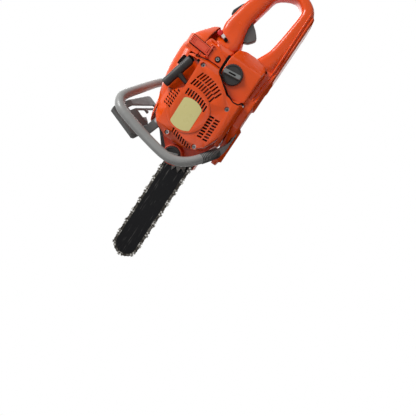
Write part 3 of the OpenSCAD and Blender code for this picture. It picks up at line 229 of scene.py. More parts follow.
def fibre(name, colour, shadow, strand_mm):
    """Matted or braided fibre: a dry, rough surface whose strands are strand_mm across."""
    made, tree, shader, place = finish_of(name, colour, {"Roughness": 0.9, "Sheen Weight": 0.3})
    strands = add(tree, "ShaderNodeTexNoise", {"Scale": per_metre(strand_mm), "Detail": 4.0},
                  {"Vector": place})
    tone = add(tree, "ShaderNodeMix", {"data_type": "RGBA", COLOUR_A: linear(shadow),
                                       COLOUR_B: linear(colour)}, {0: strands.outputs["Fac"]})
    relief = add(tree, "ShaderNodeBump", {"Strength": 0.6, "Distance": 0.3 * MM},
                 {"Height": strands.outputs["Fac"]})
    tree.links.new(tone.outputs[MIXED], shader.inputs["Base Color"])
    tree.links.new(relief.outputs["Normal"], shader.inputs["Normal"])
    return made


FINISH = {
    # Gloss-moulded nylon, dyed through: saturated, with broad soft highlights, and painted shade
    # darkening its crevices and vents
    "orange_plastic": moulded_polyamide("glossy_orange_polyamide", "#F05206", "#D84304", 0.21,
                                        ior=1.4, crevice_shade=0.85),
    # The latches have bleached towards salmon in the sun
    "bleached_orange": moulded_polyamide("bleached_orange_polyamide", "#E85A3C", "#DB4A2C", 0.32,
                                         ior=1.4),
    # Painted magnesium crankcase: deeper than the nylon beside it, and browned by oil
    "case_paint": powder_coat("orange_powder_coat", "#DC4209", "#8E2C0A", 0.4),
    # Hand guard and trigger: warm mid grey with a soft sheen
    "dark_plastic": moulded_polyamide("grey_polyamide", "#5A5A59", "#484849", 0.4),
    # Caps, pull grip and lockout: near black, so that their highlights draw the shape
    "charcoal_plastic": moulded_polyamide("charcoal_polyamide", "#252221", "#1B1918", 0.42,
                                          ior=1.4),
    # Stop and choke knob: signal red, to be found at a glance
    "red_plastic": moulded_polyamide("red_polyamide", "#D8101C", "#A00D14", 0.32),
    # Printed foil left blank: an even semi-gloss skin
    "cream_plate": moulded_polyamide("cream_foil", "#DCD28C", "#D0C57E", 0.3, grain_mm=3.0),
    # Bright castings inside, and the flywheel, which oil and dust have darkened
    "cast_aluminium": cast_metal("cast_aluminium", "#B4B4B4", "#6E6B66", 0.42),
    "grimy_casting": cast_metal("grimy_cast_aluminium", "#4E4C48", "#201D1A", 0.6),
    # Turned and ground pieces, bright under their oil
    "machined_steel": worked_steel("oiled_machined_steel", "#A3A3A4", "#5E5750", 0.33),
    # Guide bar: black lacquer between rails that the chain keeps bare
    "bar_steel": coated_bar("coated_bar_steel", "#1A1A1B", "#7D7B77", 0.4),
    # The chain is dull with oil and wood dust, and its cutters keep the shine of their chrome
    "chain_steel": worked_steel("oily_chain_steel", "#5E5B56", "#26221E", 0.42, 0.35),
    "chrome_cutter": worked_steel("hard_chrome", "#A3A19C", "#3F3A33", 0.34, 0.4),
    # Baked lacquer on the muffler: sooty black that browns in patches
    "exhaust_black": powder_coat("heatproof_black_lacquer", "#1C1C1C", "#33291F", 0.55),
    # Buffers, intake boot, plug cap and tube sleeve: matt, and greyed by dust
    "black_rubber": soft_rubber("black_rubber", "#161616", "#2E2D2B", 0.65),
    # Satin coat baked on the bent handle tube
    "grey_tube": moulded_polyamide("satin_tube_coating", "#999997", "#868684", 0.3, uneven=0.3),
    # Air filter: matted felt with dust between its fibres
    "filter_felt": fibre("filter_felt", "#C2B590", "#7E7458", 2.0),
    # Starter cord: pale braid, dark between its strands
    "rope_fibre": fibre("polyester_cord", "#D6D2C8", "#88837A", 0.8),
    # The spark plug's insulator: glassy and nearly smooth
    "white_ceramic": moulded_polyamide("glazed_ceramic", "#E8E8E4", "#D8D8D2", 0.15, grain_mm=4.0),
    # Zinc-plated screws, and the browned bumper spikes
    "screw_steel": worked_steel("zinc_plated_steel", "#8E8F90", "#5A554F", 0.34),
    "black_oxide": worked_steel("black_oxide_steel", "#4A4846", "#24211F", 0.36),
    # Gaskets and the choke bezel, and the black sheets and beads that paint the shade in pockets,
    # slots, screw wells and seam gaps
    "gasket_black": soft_rubber("black_gasket_and_painted_shade", "#0C0706", "#150D0B", 0.9, ior=1.2),
    # The bar across each tank cap, and the mark beside the choke knob
    "light_grey_plastic": moulded_polyamide("light_grey_polyamide", "#7D7F7E", "#6B6D6C", 0.34),
    "white_plastic": moulded_polyamide("white_polyamide", "#E4E2DE", "#CFCBC4", 0.35),
}
OTHER_FINISH = {"spiked_bumper": "black_oxide", "flywheel": "grimy_casting"}
for node, obj in NODES.items():
    obj.data.materials.clear()
    obj.data.materials.append(FINISH[OTHER_FINISH.get(node, SLOT[node])])


# ---- building helpers ----
def placed(name, data):
    """A new object of that data, in the scene."""
    obj = bpy.data.objects.new(name, data)
    bpy.context.scene.collection.objects.link(obj)
    return obj


def put(name, data, finish, body, stands_for=()):
    """Shows a finished mesh as a piece of that finish, which rides on body and stands for CAD
    nodes. A piece that stretches between two bodies rides on none."""
    obj = placed(name, data)
    data.materials.clear()
    data.materials.append(FINISH[finish])
    if body:
        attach(obj, body)
    if stands_for:
        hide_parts(*stands_for)
    return obj


def smoothed(data, sharp_deg=32):
    """Smooth shading, with edges sharper than sharp_deg kept."""
    data.shade_smooth()
    data.set_sharp_from_angle(angle=math.radians(sharp_deg))
    return data


def baked(obj):
    """The mesh of obj with its modifiers applied; the object itself is removed."""
    graph = bpy.context.evaluated_depsgraph_get()
    data = bpy.data.meshes.new_from_object(obj.evaluated_get(graph), depsgraph=graph)
    bpy.data.objects.remove(obj)
    return data


def skin(name, shells):
    """Closed shells, each of rings of equally many points, with both ends capped."""
    mesh = bmesh.new()
    for rings in shells:
        grid = [[mesh.verts.new(Vector(p) * MM) for p in ring] for ring in rings]
        count = len(grid[0])
        for low, high in zip(grid, grid[1:]):
            for j in range(count):
                mesh.faces.new((low[j], low[(j + 1) % count], high[(j + 1) % count], high[j]))
        mesh.faces.new(grid[0][::-1])
        mesh.faces.new(grid[-1])
    bmesh.ops.recalc_face_normals(mesh, faces=mesh.faces)
    data = bpy.data.meshes.new(name)
    mesh.to_mesh(data)
    mesh.free()
    return smoothed(data)


def rounded(half_w, half_h, radius):
    """Corner-rounded outline about the origin, as points (u, v), counter-clockwise."""
    steps = 6
    points = []
    for corner, (su, sv) in enumerate(((1, 1), (-1, 1), (-1, -1), (1, -1))):
        for k in range(steps + 1):
            a = math.radians(90 * corner + 90 * k / steps)
            points.append((su * (half_w - radius) + radius * math.cos(a),
                           sv * (half_h - radius) + radius * math.sin(a)))
    return points


def terraced(centre, lean_deg, out, levels):
    """One shell of outlines stacked along +Y (out = 1) or -Y (out = -1), turned by lean_deg about
    it. levels are (half width, half height, corner radius, distance outwards)."""
    c, s = math.cos(math.radians(lean_deg)), math.sin(math.radians(lean_deg))
    return [[(centre[0] + c * u - s * v, centre[1] + out * rise, centre[2] + s * u + c * v)
             for u, v in rounded(half_w, half_h, radius)]
            for half_w, half_h, radius, rise in levels]


def turned(centre, out, levels):
    """One round shell stacked along +Y or -Y. levels are (radius, distance outwards)."""
    return terraced(centre, 0, out, [(r, r, r, rise) for r, rise in levels])


def tube_along(path, radii, sides=24, lobes=0, lobe_mm=0.0, twist_deg=0.0):
    """One round shell along a path, with a radius at each point. Lobes stand lobe_mm proud of it
    and turn by twist_deg from one point to the next, as the strands of a cord do."""
    path = [Vector(p) for p in path]
    side = None
    rings = []
    for i, p in enumerate(path):
        way = (path[min(i + 1, len(path) - 1)] - path[max(i - 1, 0)]).normalized()
        side = (way.orthogonal() if side is None else side - way * side.dot(way)).normalized()
        over = way.cross(side)
        ring = []
        for k in range(sides):
            a = 2 * math.pi * k / sides
            r = radii[i] + lobe_mm * math.cos(lobes * (a + math.radians(twist_deg) * i))
            ring.append(p + r * (math.cos(a) * side + math.sin(a) * over))
        rings.append(ring)
    return rings


def span(node):
    """Lowest corner, highest corner and middle of a CAD node."""
    low, high = (Vector(corner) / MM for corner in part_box(node))
    return low, high, (low + high) / 2


# ---- geometry-node growers, for what repeats or follows a path ----
def grower(name, sizes):
    """A geometry tree with a Geometry input and the named sizes, in metres where they are lengths
    (floats, whole numbers or vectors)."""
    tree = bpy.data.node_groups.new(name, "GeometryNodeTree")
    tree.interface.new_socket("Geometry", in_out="INPUT", socket_type="NodeSocketGeometry")
    tree.interface.new_socket("Geometry", in_out="OUTPUT", socket_type="NodeSocketGeometry")
    kinds = {int: "NodeSocketInt", float: "NodeSocketFloat", tuple: "NodeSocketVector"}
    for label, value in sizes.items():
        socket = tree.interface.new_socket(label, in_out="INPUT", socket_type=kinds[type(value)])
        socket.default_value = value
    tree.interface.new_socket("Finish", in_out="INPUT", socket_type="NodeSocketMaterial")
    return tree, add(tree, "NodeGroupInput").outputs


def ended(tree, given, shape):
    """Ends a geometry tree: real mesh, then the finish."""
    real = add(tree, "GeometryNodeRealizeInstances", None, {"Geometry": shape})
    coated = add(tree, "GeometryNodeSetMaterial", None,
                 {"Geometry": real.outputs["Geometry"], "Material": given["Finish"]})
    add(tree, "NodeGroupOutput", None, {"Geometry": coated.outputs["Geometry"]})
    return tree


def grown(name, tree, seeds, sizes, finish, body, joined=False):
    """Grows one piece from seed points, joined into a line or free. Sizes are in metres, by the
    tree's input names."""
    edges = [(i, i + 1) for i in range(len(seeds) - 1)] if joined else []
    base = bpy.data.meshes.new(name + "_seeds")
    base.from_pydata([Vector(p) * MM for p in seeds], edges, [])
    holder = placed(name + "_seeds", base)
    grow = holder.modifiers.new("grow", "NODES")
    grow.node_group = tree
    for item in tree.interface.items_tree:
        if item.in_out == "INPUT" and item.name in sizes:
            grow[item.identifier] = sizes[item.name]
        if item.in_out == "INPUT" and item.name == "Finish":
            grow[item.identifier] = FINISH[finish]
    return put(name, smoothed(baked(holder)), finish, body)


def screw_grower():
    """Socket-head screws with a flange, one on each seed point, heads towards Facing."""
    tree, given = grower("socket_screws", {"Facing": (0.0, 1.0, 0.0), "Head Radius": 0.0044,
                                           "Head Height": 0.004, "Socket Radius": 0.0021,
                                           "Flange Radius": 0.0055})
    head = add(tree, "GeometryNodeMeshCylinder", {"Vertices": 28},
               {"Radius": given["Head Radius"], "Depth": given["Head Height"]})
    half = add(tree, "ShaderNodeMath", {"operation": "MULTIPLY", 1: 0.5}, {0: given["Head Height"]})
    rise = add(tree, "ShaderNodeCombineXYZ", None, {"Z": half.outputs[0]})
    key = add(tree, "GeometryNodeMeshCylinder", {"Vertices": 6},
              {"Radius": given["Socket Radius"], "Depth": given["Head Height"]})
    raised_key = add(tree, "GeometryNodeTransform", None,
                     {"Geometry": key.outputs["Mesh"], "Translation": rise.outputs["Vector"]})
    bored = add(tree, "GeometryNodeMeshBoolean", {"operation": "DIFFERENCE"},
                {"Mesh 1": head.outputs["Mesh"], "Mesh 2": raised_key.outputs["Geometry"]})
    flange = add(tree, "GeometryNodeMeshCylinder", {"Vertices": 28, "Depth": 0.0008},
                 {"Radius": given["Flange Radius"]})
    sink = add(tree, "ShaderNodeVectorMath", {"operation": "SCALE", "Scale": -1.0},
               {0: rise.outputs["Vector"]})
    seated = add(tree, "GeometryNodeTransform", None,
                 {"Geometry": flange.outputs["Mesh"], "Translation": sink.outputs["Vector"]})
    screw = add(tree, "GeometryNodeJoinGeometry", None, {"Geometry": bored.outputs["Mesh"]})
    tree.links.new(seated.outputs["Geometry"], screw.inputs["Geometry"])
    turned_out = add(tree, "FunctionNodeAlignRotationToVector", {"axis": "Z"},
                     {"Vector": given["Facing"]})
    set_out = add(tree, "GeometryNodeInstanceOnPoints", None,
                  {"Points": given["Geometry"], "Instance": screw.outputs["Geometry"],
                   "Rotation": turned_out.outputs["Rotation"]})
    return ended(tree, given, set_out.outputs["Instances"])


def ring_grower():
    """Beads that run round a path at an even spacing, as ribs round a sleeve."""
    tree, given = grower("ribs_round_sleeve", {"Spacing": 0.004, "Ring Radius": 0.0108,
                                               "Bead": 0.001})
    line = add(tree, "GeometryNodeMeshToCurve", None, {"Mesh": given["Geometry"]})
    marks = add(tree, "GeometryNodeResampleCurve", {"mode": "LENGTH"},
                {"Curve": line.outputs["Curve"], "Length": given["Spacing"]})
    hoop = add(tree, "GeometryNodeCurvePrimitiveCircle", {"Resolution": 32},
               {"Radius": given["Ring Radius"]})
    wire = add(tree, "GeometryNodeCurvePrimitiveCircle", {"Resolution": 8},
               {"Radius": given["Bead"]})
    rib = add(tree, "GeometryNodeCurveToMesh", None,
              {"Curve": hoop.outputs["Curve"], "Profile Curve": wire.outputs["Curve"]})
    way = add(tree, "GeometryNodeInputTangent")
    across = add(tree, "FunctionNodeAlignRotationToVector", {"axis": "Z"},
                 {"Vector": way.outputs["Tangent"]})
    set_out = add(tree, "GeometryNodeInstanceOnPoints", None,
                  {"Points": marks.outputs["Curve"], "Instance": rib.outputs["Mesh"],
                   "Rotation": across.outputs["Rotation"]})
    return ended(tree, given, set_out.outputs["Instances"])


def bead_grower():
    """A round bead along the line of seeds, as a seam, a crease or a rubber lip."""
    tree, given = grower("bead_along_seam", {"Bead": 0.001, "Step": 0.002})
    line = add(tree, "GeometryNodeMeshToCurve", None, {"Mesh": given["Geometry"]})
    even = add(tree, "GeometryNodeResampleCurve", {"mode": "LENGTH"},
               {"Curve": line.outputs["Curve"], "Length": given["Step"]})
    wire = add(tree, "GeometryNodeCurvePrimitiveCircle", {"Resolution": 10},
               {"Radius": given["Bead"]})
    swept = add(tree, "GeometryNodeCurveToMesh", {"Fill Caps": True},
                {"Curve": even.outputs["Curve"], "Profile Curve": wire.outputs["Curve"]})
    return ended(tree, given, swept.outputs["Mesh"])


def knurl_grower():
    """Finger ribs round the rim of a cap that faces along Y, centred on each seed point."""
    tree, given = grower("cap_finger_ribs", {"Count": 24, "Rim Radius": 0.0205,
                                             "Rib": (0.0016, 0.0018, 0.005)})
    rim = add(tree, "GeometryNodeMeshCircle", None,
              {"Vertices": given["Count"], "Radius": given["Rim Radius"]})
    rib = add(tree, "GeometryNodeMeshCube", None, {"Size": given["Rib"]})
    place = add(tree, "GeometryNodeInputPosition")
    outwards = add(tree, "FunctionNodeAlignRotationToVector", {"axis": "X"},
                   {"Vector": place.outputs["Position"]})
    ribbed = add(tree, "GeometryNodeInstanceOnPoints", None,
                 {"Points": rim.outputs["Mesh"], "Instance": rib.outputs["Mesh"],
                  "Rotation": outwards.outputs["Rotation"]})
    upright = add(tree, "GeometryNodeTransform", {"Rotation": (math.pi / 2, 0.0, 0.0)},
                  {"Geometry": ribbed.outputs["Instances"]})
    set_out = add(tree, "GeometryNodeInstanceOnPoints", None,
                  {"Points": given["Geometry"], "Instance": upright.outputs["Geometry"]})
    return ended(tree, given, set_out.outputs["Instances"])


def ridge_grower():
    """Straight ridges, one centred on each seed point."""
    tree, given = grower("grip_ridges", {"Ridge": (0.014, 0.0012, 0.0012)})
    ridge = add(tree, "GeometryNodeMeshCube", None, {"Size": given["Ridge"]})
    set_out = add(tree, "GeometryNodeInstanceOnPoints", None,
                  {"Points": given["Geometry"], "Instance": ridge.outputs["Mesh"]})
    return ended(tree, given, set_out.outputs["Instances"])


SCREWS = screw_grower()
RINGS = ring_grower()
BEADS = bead_grower()
KNURL = knurl_grower()
RIDGES = ridge_grower()


# ---- moulded housings ----
surfaces = []


def felt(shape):
    """Keeps a housing's surface, for what lies on it."""
    surfaces.append(BVHTree.FromPolygons([v.co for v in shape.vertices],
                                         [f.vertices for f in shape.polygons]))


def merged_copy(node, name, flat_deg=0.0):
    """A copy of a CAD node whose triangles share corners, and share faces where they lie flat."""
    mesh = bmesh.new()
    mesh.from_mesh(NODES[node].data)
    bmesh.ops.remove_doubles(mesh, verts=mesh.verts, dist=0.01 * MM)
    if flat_deg:
        bmesh.ops.dissolve_limit(mesh, angle_limit=math.radians(flat_deg), verts=mesh.verts,
                                 edges=mesh.edges)
    data = bpy.data.meshes.new(name)
    mesh.to_mesh(data)
    mesh.free()
    return placed(name + "_block", data)


def edged(node, name, width_mm):
    """Stands in for a CAD node with its sharp edges broken, and its slots at their true width."""
    block = merged_copy(node, name, flat_deg=1.0)
    ease = block.modifiers.new("ease", "BEVEL")
    ease.width = width_mm * MM
    ease.segments = 2
    ease.limit_method = "ANGLE"
    ease.angle_limit = math.radians(28)
    ease.use_clamp_overlap = True
    shape = smoothed(baked(block), 40)
    put(name, shape, SLOT[node], BODY[node], stands_for=[node])
    felt(shape)


def softened(node, name, voxel_mm, rounds):
    """Re-skins a moulded CAD node with rounded edges and stands in for it. More rounds of easing
    on larger voxels give a larger edge radius."""
    block = merged_copy(node, name)
    hide = block.modifiers.new("hide", "REMESH")
    hide.mode = "VOXEL"
    hide.voxel_size = voxel_mm * MM
    ease = block.modifiers.new("ease", "SMOOTH")
    ease.factor = 0.5
    ease.iterations = rounds
    thin = block.modifiers.new("thin", "DECIMATE")
    thin.ratio = 0.5
    shape = baked(block)
    shape.shade_smooth()
    put(name, shape, SLOT[node], BODY[node], stands_for=[node])
    felt(shape)


# The starter cover's vents are too fine to re-skin, so it only has its edges broken
edged("starter_cover", "starter_housing", 0.5)
for node, name, voxel_mm, rounds in (
        ("top_cover", "engine_hood", 1.4, 14), ("tank_unit", "tank_and_rear_handle", 1.5, 18),
        ("intake_housing", "intake_box", 1.2, 6), ("crankcase_left", "left_case", 1.2, 3),
        ("crankcase_right", "right_case", 1.2, 3), ("clutch_cover", "clutch_housing", 1.3, 3),
        ("hand_guard", "guard_shell", 1.0, 3), ("front_handle", "front_grip_tube", 1.2, 16),
        ("throttle_lockout", "lockout_lever", 0.7, 4), ("muffler", "silencer_box", 0.9, 3)):
    softened(node, name, voxel_mm, rounds)


# ---- what lies on the starter side ----
OUTSIDE_Y = 140  # beyond everything on the starter side
BARE_Y = 62      # where no housing is met


def facing(x, z, reach=3.0):
    """How far out, along +Y, the starter side's housings stand near a place."""
    tops = []
    for dx, dz in ((0, 0), (reach, 0), (-reach, 0), (0, reach), (0, -reach)):
        for surface in surfaces:
            start = Vector((x + dx, OUTSIDE_Y, z + dz)) * MM
            hit = surface.ray_cast(start, Vector((0, -1, 0)))[0]
            if hit:
                tops.append(hit.y / MM)
    return max(tops, default=BARE_Y)


def evenly(places, step):
    """Places about step apart along straight runs between the given ones."""
    out = [places[0]]
    for (x0, z0), (x1, z1) in zip(places, places[1:]):
        count = max(1, round(math.hypot(x1 - x0, z1 - z0) / step))
        out += [(x0 + (x1 - x0) * k / count, z0 + (z1 - z0) * k / count)
                for k in range(1, count + 1)]
    return out


def seam(name, places, bead_mm, sunk_mm, finish):
    """A bead along (x, z) places on the starter side, sunk into the housings that it lies on."""
    line = [(x, facing(x, z) - sunk_mm, z) for x, z in evenly(places, 2.0)]
    grown(name, BEADS, line, {"Bead": bead_mm * MM, "Step": 1.5 * MM}, finish, "saw",
          joined=True)


# ---- caps ----
CAP_HEIGHT = 12    # from the rim's inner face to the front of the CAD cap
CAP_RIM_INSET = 1  # what the finger ribs stand proud of the turned rim
CAP_RIB = (1.3 * MM, 1.9 * MM, 3.6 * MM)


def screw_cap(name, node, bar_len, lean_deg):
    """Tank cap: ribbed rim, dished face and a bar with a screwdriver slot, which folds on the real
    cap and is fixed to the cap here.
    """
    low, high, mid = span(node)
    radius = (high.x - low.x) / 2 - CAP_RIM_INSET
    base = (mid.x, high.y - CAP_HEIGHT, mid.z)
    disc = turned(base, 1, [(radius - 1.5, 0), (radius, 0.8), (radius, 4.6), (radius - 0.9, 5.8),
                            (radius - 3.4, 6.2), (radius - 4.2, 4.9), (1, 4.4)])
    neck = turned(base, -1, [(radius - 6.2, -0.5), (radius - 6.2, 7.5)])
    put(name, skin(name, [disc, neck]), "charcoal_plastic", BODY[node], [node])
    # The bar has a screwdriver slot in its middle, whose shade is painted by a black insert
    half = bar_len / 2
    bar = terraced(base, lean_deg, 1, [(half - 0.4, 4.4, 3.0, 3.2), (half, 4.7, 3.2, 9.4),
                                       (half - 1.2, 3.6, 2.4, 10.9), (half - 11, 1.7, 1.2, 10.9),
                                       (half - 11.2, 1.5, 1.0, 7.6)])
    put(name + "_bar", skin(name + "_bar", [bar]), "light_grey_plastic", BODY[node])
    slot_shade = terraced(base, lean_deg, 1, [(half - 11.1, 1.6, 1.1, 8), (half - 11.1, 1.6, 1.1, 10.4)])
    put(name + "_slot", skin(name + "_slot", [slot_shade]), "gasket_black", BODY[node])
    grown(name + "_ribs", KNURL, [(mid.x, base[1] + 2.8, mid.z)],
          {"Count": 26, "Rim Radius": (radius + 0.1) * MM, "Rib": CAP_RIB},
          "charcoal_plastic", BODY[node])


screw_cap("fuel_filler_cap", "fuel_cap", bar_len=38, lean_deg=84)
screw_cap("oil_filler_cap", "oil_cap", bar_len=31, lean_deg=70)


# ---- cover latches ----
LATCH_Z = 161.6      # middle of the plate
LATCH_LEAN = 5       # degrees that the plate leans back, as the hood's edge does
LATCH_SLOPE = 0.087  # the same lean, as run over rise
# Levels are (half width, half height, corner radius, distance outwards)
LATCH_PLATE = [(8.0, 23.0, 2.2, 0), (8.4, 23.4, 2.4, 0.4), (8.4, 23.4, 2.4, 3.4),
               (7.6, 22.6, 1.9, 4.2), (6.4, 21.4, 1.0, 4.2), (6.1, 21.1, 0.9, 3.0),
               (5.5, 19.6, 0.7, 3.0), (5.1, 19.2, 0.6, 4.0), (0.5, 13.0, 0.2, 4.4)]
# Levels of the black sheet that paints the pocket's shade
LATCH_SHADOW = [(10.0, 25.0, 3.2, 0), (10.0, 25.0, 3.2, 2.2), (9.0, 24.0, 3.2, 2.4)]
LATCH_RIDGE = (9 * MM, 1.0 * MM, 1.3 * MM)


def latch(node, name):
    """Cover latch: a plate with a raised rim and panel, on a hinge barrel, in a recess whose shade
    is painted by a black sheet.
    """
    low, high, mid = span(node)
    out = 1 if mid.y > 0 else -1
    inner = low.y if out > 0 else high.y
    hinge = Vector((mid.x, inner + out * 1.9, low.z + 2.1))
    plate = terraced((mid.x, inner, LATCH_Z), LATCH_LEAN, out, LATCH_PLATE)
    barrel = tube_along([hinge + Vector((x, 0, 0)) for x in (-7, 7)], [2.1, 2.1])
    pin = tube_along([hinge + Vector((x, 0, 0)) for x in (-12, 12)], [1.6, 1.6])
    put(name, skin(name, [plate, barrel, pin]), "bleached_orange", BODY[node], [node])
    grown(name + "_ridges", RIDGES, [(mid.x + (LATCH_Z - z) * LATCH_SLOPE, inner + out * 4.3, z)
                                     for z in (143.5, 147, 176, 179.5)],
          {"Ridge": LATCH_RIDGE}, "bleached_orange", BODY[node])
    # A black sheet round the plate paints the shade of the pocket that the latch lies in, as a dark
    # line
    shade = terraced((mid.x, inner - out * 1.2, LATCH_Z), LATCH_LEAN, out, LATCH_SHADOW)
    put(name + "_pocket", skin(name + "_pocket", [shade]), "gasket_black", "saw")


latch("latch_left", "left_latch_plate")
latch("latch_right", "right_latch_plate")


# ---- pull grip and its cord ----
GRIP_MID = Vector((-53, 80, 168))
GRIP_LEAN = math.radians(16.7)
GRIP_WAY = Vector((math.cos(GRIP_LEAN), 0, math.sin(GRIP_LEAN)))
ROPE_EXIT = Vector((-44, 75, 141))
ROPE_WAY = (GRIP_MID - ROPE_EXIT).normalized()
# Distance along the grip from its middle and radius there, then the same for its stem
GRIP_PROFILE = [(-36, 5.0), (-35.6, 7.4), (-34, 8.8), (-28, 9.3), (-15, 8.6), (-7, 9.2), (0, 9.4),
                (7, 9.2), (15, 8.6), (28, 9.3), (34, 8.8), (35.6, 7.4), (36, 5.0)]
STEM_PROFILE = [(28.2, 3.6), (27.6, 4.4), (20, 4.9), (12, 5.6), (8, 6.6), (2, 7.6)]
grip_bar = tube_along([GRIP_MID + GRIP_WAY * t for t, _ in GRIP_PROFILE],
                      [r for _, r in GRIP_PROFILE], sides=32)
stem = tube_along([GRIP_MID - ROPE_WAY * t for t, _ in STEM_PROFILE], [r for _, r in STEM_PROFILE])
put("pull_grip", skin("pull_grip", [grip_bar, stem]), "charcoal_plastic", BODY["starter_handle"],
    stands_for=["starter_handle"])
for end, reach in (("rear", (-27, -12)), ("front", (12, 27))):
    grown("pull_grip_ribs_" + end, RINGS, [GRIP_MID + GRIP_WAY * t for t in reach],
          {"Spacing": 3.7 * MM, "Ring Radius": 8.4 * MM, "Bead": 0.8 * MM}, "charcoal_plastic",
          BODY["starter_handle"], joined=True)

# Braided cord: six strands that turn once round it in each 10 mm
CORD_RADIUS = 1.6
cord_path = [ROPE_EXIT + ROPE_WAY * (t * 0.5 - 6) for t in range(64)]
cord = tube_along(cord_path, [CORD_RADIUS] * len(cord_path), sides=18, lobes=6, lobe_mm=0.14,
                  twist_deg=18)
rope = put("starter_cord", skin("starter_cord", [cord]), "rope_fibre", None,
           stands_for=["starter_rope"])
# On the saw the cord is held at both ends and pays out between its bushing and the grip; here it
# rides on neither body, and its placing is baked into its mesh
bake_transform(rope)


# ---- trigger ----
TRIGGER_HALF_WIDTH = 6.6
TRIGGER_OUTLINE = [(-191, 127), (-188, 112), (-190, 100), (-193, 93), (-200, 86), (-206, 81.5),
                   (-211, 82), (-217, 87), (-224, 94), (-230, 102), (-234, 108), (-231, 113),
                   (-214, 117), (-204, 131)]
blade = [[(x, y, z) for x, z in TRIGGER_OUTLINE] for y in (-TRIGGER_HALF_WIDTH, TRIGGER_HALF_WIDTH)]
trigger_block = placed("trigger_block", skin("trigger_blade", [blade]))
round_over = trigger_block.modifiers.new("round_over", "BEVEL")
round_over.width = 2.2 * MM
round_over.segments = 4
round_over.limit_method = "ANGLE"
put("trigger_blade", smoothed(baked(trigger_block), 50), "dark_plastic", BODY["throttle_trigger"],
    ["throttle_trigger"])


# ---- stop and choke control ----
def choke():
    """Red knob on its stalk, with a white mark and a black bezel below it, all turning together."""
    node = "choke_control"
    low, high, mid = span(node)
    lean_deg = 20
    stalk = tube_along([(mid.x, low.y, mid.z), (mid.x, high.y - 6, mid.z)], [3.4, 3.4])
    knob = turned((mid.x, high.y - 7, mid.z), 1,
                  [(5.2, 0), (6, 0.8), (6, 5.6), (5.2, 6.6), (3.8, 7)])
    put("choke_knob", skin("choke_knob", [stalk, knob]), "red_plastic", BODY[node],
        stands_for=[node])
    bezel = terraced((mid.x + 5.5, high.y - 6, mid.z - 18), lean_deg, 1,
                     [(3.6, 3.4, 1.2, 0), (3.6, 3.4, 1.2, 3.0), (3.0, 2.8, 1.0, 3.5)])
    put("choke_bezel", skin("choke_bezel", [bezel]), "gasket_black", BODY[node])
    mark = terraced((mid.x + 2.5, high.y - 5, mid.z - 10), lean_deg, 1,
                    [(3.4, 4.4, 1.6, 0), (3.4, 4.4, 1.6, 3.4), (2.6, 3.6, 1.2, 4.2)])
    put("choke_mark", skin("choke_mark", [mark]), "white_plastic", BODY[node])


choke()


# ---- fasteners ----
COVER_SCREWS = [(-45, 41), (-91, 130), (54, 56), (60, 120)]
HOUSING_SCREW = (-120, 58.6, 117)
COVER_HOLE = (-93.8, 143)  # small square hole in the starter cover's rear corner
head_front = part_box("cover_screws")[1][1] / MM
seated = [(x, min(head_front, facing(x, z, 6)) - 2.6, z) for x, z in COVER_SCREWS]
grown("starter_screws", SCREWS, seated,
      {"Head Radius": 3.2 * MM, "Head Height": 4.0 * MM, "Socket Radius": 1.7 * MM,
       "Flange Radius": 3.4 * MM}, "screw_steel", "saw")
grown("housing_screw", SCREWS, [HOUSING_SCREW],
      {"Head Radius": 3.6 * MM, "Head Height": 3.0 * MM, "Socket Radius": 1.8 * MM,
       "Flange Radius": 3.8 * MM}, "screw_steel", "saw")
# Black sheets paint the shade round each head, as a well, and on its socket's floor. The last two
# numbers are the well's radius and how far the head stands above its middle
heads = [(*seat, 5.2, 2.0) for seat in seated] + [(*HOUSING_SCREW, 6.0, 1.5)]
painted_well_shade = [turned((x, y - top + 0.2, z), 1, [(r, 0), (r, 2 * top - 1.6), (1, 2 * top - 1.6)])
         for x, y, z, r, top in heads]
painted_well_shade += [turned((x, y, z), 1, [(1.9, 0), (1.9, top - 0.5), (1, top - 0.5)])
          for x, y, z, r, top in heads]
# A black patch paints the shade of the small square hole in the cover's rear corner
painted_well_shade.append(terraced((COVER_HOLE[0], facing(*COVER_HOLE) - 1.8, COVER_HOLE[1]), 15, 1,
                      [(2.6, 2.6, 0.8, 0), (2.6, 2.6, 0.8, 1.9)]))
put("screw_well_shadows", skin("screw_well_shadows", painted_well_shade), "gasket_black", "saw")


# ---- seals, painted seam shadows and mould lines ----
# The black beads along the tank's gap and the starter and hood joints paint the shade in these
# gaps; the tank buffer is a rubber seal
# Name, (x, z) places, bead radius and how deep its middle lies
for name, places, bead_mm, sunk_mm in (
        ("tank_gap_shadow", [(-107, 99), (-98, 95), (-94.6, 91.5), (-80, 72.4), (-68, 51.4), (-62.7, 38),
                      (-64, 27), (-73.5, 20.5)], 1.7, 1.0),
        ("tank_buffer", [(-138, 98.2), (-127, 98.6), (-118, 98.8), (-108, 99)], 3.6, 2.4),
        ("starter_joint_shadow", [(-99, 154), (-103, 142), (-106.3, 129), (-106.5, 115), (-105.7, 101)],
         0.9, 0.55),
        ("hood_joint_shadow", [(-112, 154), (-99, 154)], 0.7, 0.4)):
    seam(name, places, bead_mm, sunk_mm, "gasket_black")
for name, places, bead_mm, sunk_mm in (
        ("intake_rim", [(-146, 150), (-146, 142), (-145, 133.5), (-141, 126), (-137.4, 120),
                        (-134.5, 111), (-132.6, 104)], 2.0, 1.0),
        ("rear_guard_rib", [(-304, 11), (-230, 10), (-160, 10), (-90, 10)], 2.0, 0.7),
        ("rear_guard_lip", [(-300, 3.2), (-230, 3.2), (-160, 3.2), (-90, 3.2)], 2.4, 0.6)):
    seam(name, places, bead_mm, sunk_mm, "orange_plastic")


